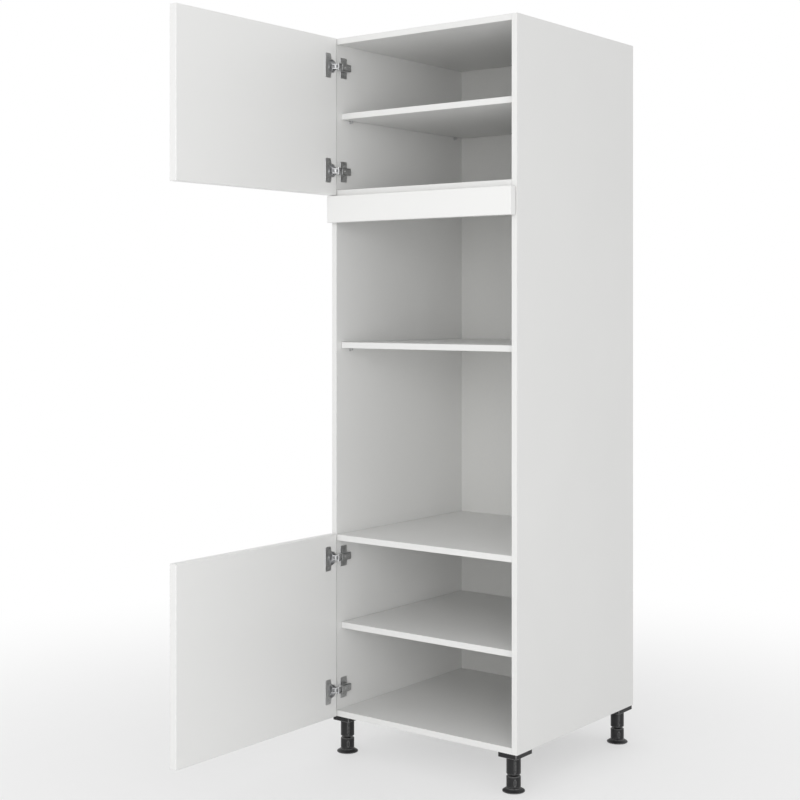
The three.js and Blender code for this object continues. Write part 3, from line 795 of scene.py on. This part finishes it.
def cut_out(piece, cutters):
    """Cuts closed shapes out of a piece and keeps the result in its own mesh."""
    for cutter in cutters:
        modifier = piece.modifiers.new("bore", "BOOLEAN")
        modifier.operation = "DIFFERENCE"
        modifier.solver = "EXACT"
        modifier.object = cutter
    evaluated = piece.evaluated_get(bpy.context.evaluated_depsgraph_get())
    data = bpy.data.meshes.new_from_object(evaluated)
    piece.modifiers.clear()
    piece.data = data
    data.set_sharp_from_angle(angle=math.radians(CREASE))
    for cutter in cutters:
        bpy.data.objects.remove(cutter)


class OVENHOUSING_OT_fronts(bpy.types.Operator):
    """Makes the two doors with their bores, and the fascia panel."""

    bl_idname = "ovenhousing.fronts"
    bl_label = "Fronts"

    def execute(self, context):
        radius = context.scene.oven_housing_boards.front_round
        bore = lathe([(CUP_RADIUS, -CUP_DEPTH - BORE_EXTRA), (CUP_RADIUS, BORE_MOUTH)], 64)
        for door in DOORS:
            panel = Shape().slab(*corners(door), radius, FRONT_STRIP).mesh(door + "_front")
            cut_out(panel, [Shape().add(lay(bore, "x", cup_centre(door, place))).mesh("bore")
                            for place in PLACES])
            place_piece(panel, door, "front", [door])
        fascia = Shape().slab(*corners("fascia_panel"), radius, FRONT_STRIP)
        place_piece(fascia.mesh("fascia_front"), "root", "front",
                    ["fascia_panel"])
        return {"FINISHED"}


# ---- hinges ---------------------------------------------------------------------


def flange_rings(samples=256):
    """The cup's flange: a ring whose outer line is the farther of a circle and of two ears.

    At angle a the outer radius is the larger of the rim's radius and of the distance to
    the far side of a rounded rectangle that stands off the cup's middle. A ray along w
    meets the side from p to p + s at the distance (p x s) / (w x s), where (p x w) / (w x s)
    lies between nothing and one. The section is a closed loop: lower face, inner wall,
    upper face and outer edge, its upper edges bevelled.
    """
    angles = np.arange(samples) * TURN / samples
    way = np.stack([np.cos(angles), np.sin(angles)], 1)
    start = rectangle(EAR_CENTRE - EAR_HALF_WIDTH, EAR_CENTRE + EAR_HALF_WIDTH,
                      -EAR_HALF_HEIGHT, EAR_HALF_HEIGHT, EAR_CORNER, 12)
    side = np.roll(start, -1, 0) - start
    cross = way[:, None, 0] * side[None, :, 1] - way[:, None, 1] * side[None, :, 0]
    cross = np.where(np.abs(cross) < 1e-12, 1e-12, cross)
    reach = (start[None, :, 0] * side[None, :, 1] - start[None, :, 1] * side[None, :, 0]) / cross
    along = (start[None, :, 0] * way[:, None, 1] - start[None, :, 1] * way[:, None, 0]) / cross
    hit = (along >= 0) & (along <= 1) & (reach > 0)
    far = np.where(hit, reach, 0).max(1)
    outer = np.maximum(far, FLANGE_RIM)
    soft = 0.3 * MM
    section = [(0, FLANGE_SEAT), (0, FLANGE_FACE - soft), (soft, FLANGE_FACE),
               (-soft, FLANGE_FACE), (0, FLANGE_FACE - soft), (0, FLANGE_SEAT)]
    rings = []
    for index, (shift, height) in enumerate(section):
        radius = (CUP_MOUTH if index < 3 else outer) + shift
        radius = np.broadcast_to(radius, angles.shape)
        rings.append(np.stack([radius * way[:, 0], radius * way[:, 1],
                               np.full(samples, height)], 1))
    return np.array(rings)[::-1]


def cup_shell():
    """The cup's own shell turned about its axis; w is zero at the door's face."""
    outer = CUP_RADIUS - CUP_FIT
    outside = arc((outer - CUP_ROUND, CUP_ROUND - CUP_DEPTH), CUP_ROUND, -TURN / 4, 0, 5)
    inside = arc((CUP_MOUTH - CUP_ROUND, CUP_ROUND - CUP_FLOOR), CUP_ROUND, 0, -TURN / 4, 5)
    return lathe(np.concatenate([
        [(AXIS_HOLE, -CUP_DEPTH)], outside, [(outer, FLANGE_SEAT), (CUP_MOUTH, FLANGE_SEAT)],
        inside, [(AXIS_HOLE, -CUP_FLOOR)]]), 64)


class OVENHOUSING_OT_hinge_cups(bpy.types.Operator):
    """Makes the hinge cups with their flanges, pivot pins and flange screws."""

    bl_idname = "ovenhousing.hinge_cups"
    bl_label = "Hinge cups"

    def execute(self, context):
        head = screw_head(3.4, 0.45, 1.1)
        for door in DOORS:
            for place in PLACES:
                name = f"{door}_{place}_hinge_cup"
                centre = cup_centre(door, place)
                cup = Shape().add(lay(cup_shell(), "x", centre))
                cup.add(lay(flange_rings(), "x", centre), closed=True)
                cup.add(lay(rod(*CUP_PIN), "z", (*in_door(door, *OUTER_PIN), centre[2])))
                place_piece(cup.mesh(name + "_shell"), door, "steel", [name])
                place_heads(name + "_screws", door, [
                    (head, "x", centre + [FLANGE_FACE, EAR_CENTRE, end * FLANGE_SCREW])
                    for end in (-1, 1)])
        return {"FINISHED"}


def smooth_path(knots, samples=40):
    """A path through knots, with each point blended from four neighbours (Catmull-Rom)."""
    knots = np.asarray(knots, float)
    padded = np.concatenate([2 * knots[:1] - knots[1:2], knots, 2 * knots[-1:] - knots[-2:-1]])
    t = np.linspace(0, len(knots) - 1 - 1e-9, samples)
    i = t.astype(int)
    u = (t - i)[:, None]
    p0, p1, p2, p3 = (padded[i + k] for k in range(4))
    return 0.5 * (2 * p1 + (p2 - p0) * u + (2 * p0 - 5 * p1 + 4 * p2 - p3) * u ** 2
                  + (3 * p1 - p0 - 3 * p2 + p3) * u ** 3)


def bar_outline(path, eye, far_eye):
    """Outline of a link's bar along a path, with a round eye about each end.

    The two sides are the path moved by its normal times the half width, which swells to
    the eye's radius near an end; a half circle closes each end. Runs anticlockwise.
    """
    ahead = np.gradient(path, axis=0)
    ahead /= np.linalg.norm(ahead, axis=1, keepdims=True)
    normal = np.stack([-ahead[:, 1], ahead[:, 0]], 1)
    run = np.concatenate([[0], np.cumsum(np.linalg.norm(np.diff(path, axis=0), axis=1))])
    left = run[-1] - run
    swell = np.maximum(np.sqrt(np.clip(eye ** 2 - run ** 2, 0, None)),
                       np.sqrt(np.clip(far_eye ** 2 - left ** 2, 0, None)))
    width = np.maximum(swell, LINK_HALF)[:, None]
    angles = np.linspace(0, TURN / 2, 13)[1:-1, None]

    def end_cap(centre, forward, side, radius):
        return centre + radius * (side * np.cos(angles) + forward * np.sin(angles))

    right_side = path - normal * width
    left_side = (path + normal * width)[::-1]
    far_cap = end_cap(path[-1], ahead[-1], -normal[-1], far_eye)
    near_cap = end_cap(path[0], -ahead[0], normal[0], eye)
    return np.concatenate([right_side, far_cap, left_side, near_cap])


class OVENHOUSING_OT_hinge_links(bpy.types.Operator):
    """Makes the outer and inner links of the hinges."""

    bl_idname = "ovenhousing.hinge_links"
    bl_label = "Hinge links"

    def execute(self, context):
        for door in DOORS:
            for place in PLACES:
                self.outer_link(door, f"{door}_{place}_outer_link")
                self.inner_link(door, f"{door}_{place}_inner_link")
        return {"FINISHED"}

    @staticmethod
    def outer_link(door, name):
        """One cranked plate that bows round the door's edge."""
        body = door + "_outer_links"
        low, high = corners(name)
        arm_end = pivot(body + "_turn")
        path = smooth_path([in_door(door, *OUTER_PIN), arm_end + LINK_BEND,
                            arm_end + LINK_SHOULDER, arm_end])
        link = Shape().add(*plate(bar_outline(path, PIVOT_EYE, PIVOT_EYE), low[2], high[2],
                                  LINK_ROUND, strip=LINK_STRIP))
        place_piece(link.mesh(name + "_plate"), body, "link", [name])

    @staticmethod
    def inner_link(door, name):
        """Two straight cheeks on a barrel, each with a stub pin in the cup."""
        body = door + "_inner_links"
        z = middle(name)[2]
        cup_end, arm_end = in_door(door, *INNER_PIN), pivot(body + "_turn")
        outline = bar_outline(smooth_path([cup_end, arm_end], 12), CUP_EYE, PIVOT_EYE)
        stub = lathe(np.array([(1.15, 0), (1.2, 0.1), (1.2, 2.7), (1.1, 2.8)]) * MM, 20)
        link = Shape()
        for sign, axis in ((-1, "-z"), (1, "z")):
            link.add(*plate(outline, *span(z, sign, *CHEEK), LINK_ROUND, strip=LINK_STRIP))
            link.add(lay(stub, axis, (*cup_end, z + sign * sum(CHEEK) / 2)))
        link.add(lay(rod(*BARREL), "z", (*arm_end, z)))
        place_piece(link.mesh(name + "_plates"), body, "link", [name])


def nose_outline(left, right, outer_pivot, inner_pivot):
    """Plan of the arm's cheek: straight behind, and in front round about its two pivots."""
    along = inner_pivot - outer_pivot
    across = math.atan2(along[1], along[0]) - TURN / 4
    back = ARM_BACK - ARM_CORNER
    return np.concatenate([
        [(left, ARM_HEEL)],
        arc(outer_pivot, NOSE, NOSE_START, across + TURN, 14),
        arc(inner_pivot, NOSE, across, 0, 8),
        [(right, ARM_HEEL)],
        arc((right - ARM_CORNER, back), ARM_CORNER, 0, TURN / 4, 6),
        arc((left + ARM_CORNER, back), ARM_CORNER, TURN / 4, TURN / 2, 6)])


class OVENHOUSING_OT_hinge_arms(bpy.types.Operator):
    """Makes the hinge arms with their adjusting screws, and the mounting plates."""

    bl_idname = "ovenhousing.hinge_arms"
    bl_label = "Hinge arms and plates"

    def execute(self, context):
        side_low, side_high = corners("left_side_panel")
        left, right = side_low[0] + ARM_LEFT, side_low[0] + ARM_RIGHT
        for door in DOORS:
            pivots = [pivot(f"{door}_{link}_links_turn") for link in ("outer", "inner")]
            for place in PLACES:
                hinge = f"{door}_{place}_hinge"
                z = middle(hinge + "_arm")[2]
                self.arm(hinge + "_arm", z, left, right, pivots)
                self.mounting_plate(hinge + "_plate", z, side_high[0], right)
        return {"FINISHED"}

    @staticmethod
    def arm(name, z, left, right, pivots):
        """The arm: two cheeks and a web with a raised ridge, two pivot pins and two screws."""
        arm = Shape()
        cheek = nose_outline(left, right, *pivots)
        for sign in (-1, 1):
            arm.add(*plate(cheek, *span(z, sign, ARM_HALF - ARM_WALL, ARM_HALF), ARM_ROUND,
                           strip=FINE_STRIP))
        web = rectangle(ARM_HEEL, ARM_BACK, z - ARM_HALF, z + ARM_HALF, WEB_CORNER, 8)
        arm.add(*upright_plate(web, right - ARM_WALL, right, ARM_ROUND))
        pin = lathe(np.array([(1.3, -9.25), (1.5, -9.1), (1.5, 9.1), (1.3, 9.25)]) * MM, 24)
        for centre in pivots:
            arm.add(lay(pin, "z", (*centre, z)))
        ridge = rectangle(*RIDGE, z - RIDGE_HALF, z + RIDGE_HALF, RIDGE_CORNER, 8)
        arm.add(*upright_plate(ridge, right - RIDGE_SINK, right + RIDGE_RISE, 0.3 * MM))
        place_piece(arm.mesh(name + "_channel"), "root", "steel", [name])
        place_heads(name + "_screws", "root", [
            (screw_head(3.1, 0.5, 1.4), "x", (right, SIDE_SCREW, z)),
            (screw_head(3.8, 0.6, 1.6), "x", (right, FIX_SCREW, z))])

    @staticmethod
    def mounting_plate(name, z, face, arm_right):
        """The mounting plate: two wings, a block under the arm and a hump at its rear."""
        hump_face = arm_right - ARM_WALL - HUMP_GAP
        body = Shape()
        for (front, rear), half, top, corner, steps, radius in (
                (PLATE, PLATE_HALF, face + PLATE_THICK, 2.5 * MM, 8, 0.5 * MM),
                (BLOCK, BLOCK_HALF, face + BLOCK_RISE, 1.2 * MM, 5, 0.6 * MM),
                (HUMP, BLOCK_HALF, hump_face, 1.2 * MM, 5, 0.6 * MM)):
            outline = rectangle(front, rear, z - half, z + half, corner, steps)
            body.add(*upright_plate(outline, face, top, radius))
        place_piece(body.mesh(name + "_cast"), "root", "steel", [name])
        head = screw_head(4.0, 0.8, 1.7)
        place_heads(name + "_screws", "root", [
            (head, "x", (face + PLATE_THICK, sum(PLATE) / 2, z + end * PLATE_SCREW))
            for end in (-1, 1)])


# ---- pins, brackets and legs ----------------------------------------------------


class OVENHOUSING_OT_shelf_pins(bpy.types.Operator):
    """Makes the turned pins that carry the loose shelves."""

    bl_idname = "ovenhousing.shelf_pins"
    bl_label = "Shelf pins"

    def execute(self, context):
        left_face = corners("left_side_panel")[1][0]
        right_face = corners("right_side_panel")[0][0]
        pin = lathe(np.array([(0.1, -9.0), (2.0, -9.0), (2.5, -8.4), (2.5, 0.3), (4.6, 0.3),
                              (5.0, 0.6), (5.0, 1.0), (4.7, 1.3), (3.5, 1.3), (3.5, 8.6),
                              (3.0, 9.3), (0.1, 9.3)]) * MM, 40)
        for row in PIN_ROWS:
            for place in CORNERS:
                name = f"{row}_{place}"
                inward, face = ("x", left_face) if "left" in place else ("-x", right_face)
                centre = (face, *middle(name)[1:])
                piece = Shape().add(lay(pin, inward, centre)).mesh(name + "_turned", 30)
                place_piece(piece, "root", "steel", [name])
        return {"FINISHED"}


class OVENHOUSING_OT_brackets(bpy.types.Operator):
    """Makes the angle brackets behind the fascia, with their screws."""

    bl_idname = "ovenhousing.brackets"
    bl_label = "Fascia brackets"

    def execute(self, context):
        leaf, bend = 2 * MM, 2 * MM
        end_inset, screw_reach = 8 * MM, 9 * MM
        head = screw_head(3.4, 0.9, 1.2)
        for name in ("fascia_bracket_left", "fascia_bracket_right"):
            low, high = corners(name)
            front, top = low[1] + leaf, high[2] - leaf
            outline = np.concatenate([
                [(low[1], high[2]), (low[1], low[2]), (front, low[2])],
                arc((front + bend, top - bend), bend, TURN / 2, TURN / 4, 8),
                [(high[1], top), (high[1], high[2])]])
            angle = Shape().add(*upright_plate(outline, low[0], high[0], 0.3 * MM))
            place_piece(angle.mesh(name + "_angle"), "root", "steel", [name])
            heads = []
            for x in (low[0] + end_inset, high[0] - end_inset):
                heads.append((head, "y", (x, front, low[2] + screw_reach)))
                heads.append((head, "-z", (x, high[1] - screw_reach, top)))
            place_heads(name + "_screws", "root", heads)
        return {"FINISHED"}


class SlottedWall:
    """A turned wall with four upright slots with round ends, one towards each corner.

    The distance from a slot's outline is that of a point on the unrolled wall from the
    slot's middle line, less half its width. The wall is drawn in by SLOT_DEPTH where it is
    below nothing, over a slope as wide as SLOT_SLOPE. The edge mark, where the plastic is
    painted pale as scuffing and as a painted highlight along the slots and rims, is
    exp(-(distance / 0.9 mm)^2), or 0.9 exp(-(rise / 1.2 mm)^2) where that is larger, with
    the rise measured from the nearest rim.
    """

    def __init__(self, width, low, high, rims):
        self.width = width
        self.low = low
        self.high = high
        self.rims = rims

    def distance(self, radius, angle, height):
        """How far a point of the wall lies outside the nearest slot's outline."""
        across = (np.mod(angle, TURN / 4) - TURN / 8) * radius
        straight = (self.high - self.low - self.width) / 2
        past = np.clip(np.abs(height - (self.low + self.high) / 2) - straight, 0, None)
        return np.hypot(across, past) - self.width / 2

    def drawn_in(self, radius, angle, height):
        """How far the wall is drawn in; the bore's own wall stays."""
        inside = np.clip(-self.distance(radius, angle, height) / SLOT_SLOPE + 0.5, 0, 1)
        return SLOT_DEPTH * inside * (radius > 17 * MM)

    def mark(self, rings):
        """The edge mark of each vertex of the wall before it is drawn in, where the plastic is
        painted pale: partly scuffing, partly a painted highlight along slots and rims.
        """
        x, y, height = rings[..., 0], rings[..., 1], rings[..., 2]
        radius = np.hypot(x, y)
        near = self.distance(radius, np.arctan2(y, x), height) / (0.9 * MM)
        rim = np.min([np.abs(height - level) for level in self.rims], 0) / (1.2 * MM)
        return np.maximum(np.exp(-near ** 2), 0.9 * np.exp(-rim ** 2)) * (radius > 15 * MM)

    def side(self):
        """Profile rows of the wall beside the slot, close together at its round ends."""
        ends = np.linspace(-SLOT_SLOPE, self.width / 2 + SLOT_SLOPE, 8)
        rows = np.concatenate([self.low + ends, (self.high - ends)[::-1]])
        return np.column_stack([np.full(len(rows), TUBE_RADIUS), rows])

    def turned(self, profile, x, y):
        """The closed profile turned about (x, y), with its slots, and its edge marks."""
        wall = lathe(profile, TUBE_SIDES, self.drawn_in) + [x, y, 0]
        return wall, self.mark(lathe(profile, TUBE_SIDES))


def lower_edge(end, count):
    """The rounded lower edge of a leg's tube or collar, from its end face to its wall."""
    return arc((TUBE_RADIUS - TUBE_END, end + TUBE_END), TUBE_END, -TURN / 4, 0, count)


class OVENHOUSING_OT_legs(bpy.types.Operator):
    """Makes the adjustable legs: mount, collar and foot."""

    bl_idname = "ovenhousing.legs"
    bl_label = "Legs"

    def execute(self, context):
        for leg in CORNERS:
            x, y = middle(leg + "_leg_foot")[:2]
            self.mount(leg + "_leg_mount", x, y)
            self.collar(leg + "_leg_collar", leg + "_collar", x, y)
            self.foot(leg + "_leg_foot", leg + "_foot", x, y)
        return {"FINISHED"}

    @staticmethod
    def tray(low, high):
        """A plate with a skirt: from the roof's underside out, down, round and up to its top.

        Each ring is the plate's outline drawn in by its own inset at its own height, so the
        first and the last ring are the only ones that need a face over them. Its rounded
        lower edge and its upright corners are marked pale, partly as scuffing and partly as
        a painted highlight, and the edge of its top a little.
        """
        soft, strip = 0.8 * MM, 0.7 * MM
        turn = np.linspace(0, TURN / 4, 4)
        top, foot = high[2], high[2] - LEG_PLATE
        inset = np.concatenate([[LEG_WALL, LEG_WALL, soft + strip], soft * (1 - np.sin(turn)),
                                [0, 0], soft * (1 - np.cos(turn))])
        height = np.concatenate([[top - LEG_ROOF, foot, foot], foot + soft * (1 - np.cos(turn)),
                                 [foot + soft + strip, top - soft - strip],
                                 top - soft + soft * np.sin(turn)])
        # edge marks for the pale paint: scuffing and a painted highlight on the rounded lower
        # edge, less on the top edge
        mark = np.array([0, 0, 0, 1, 1, 1, 1, 0, 0, 0.3, 0.3, 0.3, 0])
        rings = []
        for drawn, level in zip(inset, height):
            outline = rectangle(low[0] + drawn, high[0] - drawn, low[1] + drawn,
                                high[1] - drawn, LEG_CORNER - drawn, 8)
            rings.append(np.column_stack([outline, np.full(len(outline), level)]))
        # the upright corners get the same scuffing and painted highlight
        upright = np.tile(np.sin(np.linspace(0, TURN / 2, 9)) ** 2, 4)
        marks = np.maximum(mark[:, None], 0.9 * upright * (inset < soft)[:, None])
        return np.array(rings), marks

    def mount(self, name, x, y):
        """The plate with its skirt and ribs, and the tube with a slot towards each corner."""
        low, high = corners(name)
        top, end = high[2], low[2]
        piece = Shape().add(*self.tray(low, high))
        foot, head = top - LEG_PLATE + RIB_LIFT, top - LEG_ROOF + RIB_SINK
        start, stop = low + LEG_WALL / 2, high - LEG_WALL / 2
        for rib_low, rib_high in (((start[0], y - RIB_HALF), (stop[0], y + RIB_HALF)),
                                  ((x - RIB_HALF, start[1]), (x + RIB_HALF, stop[1]))):
            piece.slab((*rib_low, foot), (*rib_high, head), 0.25 * MM, FINE_STRIP)
        wall = SlottedWall(TUBE_SLOT, end + SLOT_INSET, top - LEG_PLATE - SLOT_HEAD, [end])
        root = top - LEG_ROOF / 2
        profile = np.concatenate([[(TUBE_BORE, end)], lower_edge(end, 5), wall.side(),
                                  [(TUBE_RADIUS, root), (TUBE_BORE, root)]])
        piece.add(*wall.turned(profile, x, y), closed=True)
        place_piece(piece.mesh(name + "_moulding", 35), "root", "plastic",
                    [name])
        screw = screw_head(3.6, 1.2, 1.3)
        place_heads(name + "_screws", "root", [
            (screw, "-z", (screw_x, screw_y, top - LEG_ROOF))
            for screw_x in (low[0] + LEG_SCREW, high[0] - LEG_SCREW)
            for screw_y in (low[1] + LEG_SCREW, high[1] - LEG_SCREW)], "steel")

    @staticmethod
    def collar(name, body, x, y):
        """The collar: a rounded ring with a slot towards each corner."""
        low, high = corners(name)
        end, top = low[2], high[2]
        wall = SlottedWall(COLLAR_SLOT, end + SLOT_INSET, top - COLLAR_SHOULDER - SLOT_INSET,
                           [end, top])
        crown = arc((TUBE_RADIUS - COLLAR_SHOULDER, top - COLLAR_SHOULDER), COLLAR_SHOULDER,
                    0, TURN / 4, 6)
        profile = np.concatenate([[(COLLAR_BORE, end)], lower_edge(end, 6), wall.side(), crown,
                                  [(COLLAR_BORE, top)]])
        ring = Shape().add(*wall.turned(profile, x, y), closed=True)
        place_piece(ring.mesh(name + "_ring", 35), body, "plastic", [name])

    @staticmethod
    def foot(name, body, x, y):
        """The foot: a threaded spindle on a flared cone with a rounded rim."""
        sides = 64
        top = corners(name)[1][2]
        heights = np.linspace(12 * MM, top - 4 * MM, 117)
        thread = THREAD_RADIUS + THREAD_DEPTH * np.cos(heights / THREAD_PITCH * TURN)
        cone = np.array([(0.1, 0), (27.3, 0), (28.1, 0.3), (28.5, 1), (28.5, 2), (28.2, 2.8),
                         (27.2, 3.4), (25.6, 4.2), (22.6, 6.4), (20.2, 8.2), (18.9, 9.2),
                         (18.3, 9.5), (9.0, 9.5)]) * MM
        tip = [(8.9 * MM, top - 1 * MM), (8.0 * MM, top), (AXIS_HOLE, top)]
        profile = np.concatenate([cone, np.column_stack([thread, heights]), tip])

        def scuff_and_highlight_band(level, inner):
            """A bell over the distance from a height, on what lies outside the inner radius."""
            away = (profile[:, 1] - level) / MM
            return np.exp(-away ** 2) * (profile[:, 0] > inner)

        # pale bands on the foot's rim and on its shoulder under the collar: scuffing and a
        # painted highlight
        marks = 0.9 * np.maximum(scuff_and_highlight_band(1.5 * MM, 27.5 * MM), scuff_and_highlight_band(9.4 * MM, 17 * MM))
        turned = Shape().add(lathe(profile, sides) + [x, y, 0],
                             np.repeat(marks[:, None], sides, 1))
        place_piece(turned.mesh(name + "_turned", 35), body, "plastic", [name])


# ---- stage ----------------------------------------------------------------------


def area_light(name, place, target, size, power):
    """A square lamp that faces its target."""
    lamp = bpy.data.lights.new(name, "AREA")
    lamp.shape = "SQUARE"
    lamp.size = size
    lamp.energy = power
    obj = bpy.data.objects.new(name, lamp)
    obj.location = place
    obj.rotation_euler = (Vector(target) - Vector(place)).to_track_quat("-Z", "Y").to_euler()
    bpy.context.scene.collection.objects.link(obj)


class OVENHOUSING_OT_stage(bpy.types.Operator):
    """Makes the camera, the lights, the pale floor and the white surroundings."""

    bl_idname = "ovenhousing.stage"
    bl_label = "Camera, light and floor"

    def execute(self, context):
        scene = context.scene
        values = scene.oven_housing_stage
        scene.view_settings.view_transform = "Standard"
        self.camera(scene, values)
        area_light("key_light", place=(0.9, -4.6, 2.2), target=(0, 0.3, 0.95), size=3.4,
                   power=values.key_power)
        area_light("fill_light", place=(2.9, -3.2, 1.3), target=(0, 0.2, 0.95), size=2.4,
                   power=values.fill_power)
        self.floor()
        self.surroundings(scene, values)
        return {"FINISHED"}

    @staticmethod
    def camera(scene, values):
        """A level camera, shifted so that the horizon lies on its row of the picture."""
        lens = bpy.data.cameras.new("camera")
        lens.sensor_width = 36
        lens.lens = values.focal_pixels / FRAME_PIXELS * lens.sensor_width
        lens.shift_y = (values.horizon_row - FRAME_PIXELS / 2) / FRAME_PIXELS
        lens.clip_end = 100
        camera = bpy.data.objects.new("camera", lens)
        camera.location = values.camera_place
        camera.rotation_euler = (math.pi / 2, 0, values.camera_turn)
        scene.collection.objects.link(camera)
        scene.camera = camera

    @staticmethod
    def floor():
        """A pale floor that glows up to plain white away from the unit, where it is seen."""
        half, thickness = 12, 0.02
        floor = Shape().slab((-half, -half, -thickness), (half, half, 0), 1 * MM).mesh("floor")
        finish = Finish("floor_white")
        grain = finish.noise(finish.coordinates(), 12.0, 4.0)
        tone = finish.blend(grain, (0.80, 0.80, 0.80, 1), (0.83, 0.83, 0.83, 1))
        finish.set(base_color=tone, roughness=0.6 + grain * 0.1)
        glow = finish.node("ShaderNodeEmission", {}, {"Color": (1, 1, 1, 1), "Strength": 1.0})
        reach = finish.node("ShaderNodeVectorMath", {"operation": "LENGTH"},
                            {0: finish.coordinates((1, 1, 0))}, 1)
        far = finish.node("ShaderNodeMapRange", {"interpolation_type": "SMOOTHSTEP"},
                          {"Value": reach, "From Min": 0.5, "From Max": 2.6,
                           "To Min": 0.45, "To Max": 1.0})
        surface = finish.node("ShaderNodeMixShader", {}, {
            0: finish.seen() * far, 1: Value(finish, finish.shader), 2: glow})
        finish.feed(finish.tree.nodes["Material Output"].inputs["Surface"], surface)
        floor.data.materials.append(finish.material)

    @staticmethod
    def surroundings(scene, values):
        """White where they are seen, and an even light of the sky's level on the unit."""
        world = bpy.data.worlds.new("surroundings")
        world.use_nodes = True
        scene.world = world
        sky = Nodes(world.node_tree)
        background = sky.tree.nodes["Background"]
        level = values.sky_level
        sky.feed(background.inputs["Color"], (1, 1, 1, 1))
        sky.feed(background.inputs["Strength"], level + (1 - level) * sky.seen())


# ---- panel and registration -----------------------------------------------------


class OVENHOUSING_PT_panel(bpy.types.Panel):
    """Sidebar panel that lists the operators and their values."""

    bl_idname = "OVENHOUSING_PT_panel"
    bl_label = "Oven housing"
    bl_space_type = "VIEW_3D"
    bl_region_type = "UI"
    bl_category = "Oven housing"

    def draw(self, context):
        column = self.layout.column()
        for operator in OPERATORS:
            column.operator(operator.bl_idname, text=operator.bl_label)
        for name in GROUPS:
            group = getattr(context.scene, name)
            for field in group.__annotations__:
                column.prop(group, field)


OPERATORS = (
    OVENHOUSING_OT_stage,
    OVENHOUSING_OT_boards,
    OVENHOUSING_OT_back_panel,
    OVENHOUSING_OT_fronts,
    OVENHOUSING_OT_hinge_cups,
    OVENHOUSING_OT_hinge_links,
    OVENHOUSING_OT_hinge_arms,
    OVENHOUSING_OT_shelf_pins,
    OVENHOUSING_OT_brackets,
    OVENHOUSING_OT_legs,
)
GROUPS = {
    "oven_housing_boards": OvenHousingBoards,
    "oven_housing_fittings": OvenHousingFittings,
    "oven_housing_stage": OvenHousingStage,
}


def register():
    """Registers the value groups, the operators and the panel."""
    for name, group in GROUPS.items():
        bpy.utils.register_class(group)
        setattr(bpy.types.Scene, name, bpy.props.PointerProperty(type=group))
    for operator in OPERATORS:
        bpy.utils.register_class(operator)
    bpy.utils.register_class(OVENHOUSING_PT_panel)


def unregister():
    """Takes the classes away again."""
    bpy.utils.unregister_class(OVENHOUSING_PT_panel)
    for operator in reversed(OPERATORS):
        bpy.utils.unregister_class(operator)
    for name, group in GROUPS.items():
        delattr(bpy.types.Scene, name)
        bpy.utils.unregister_class(group)


def main():
    register()
    for operator in OPERATORS:
        group, name = operator.bl_idname.split(".")
        getattr(getattr(bpy.ops, group), name)()


if __name__ == "__main__":
    main()
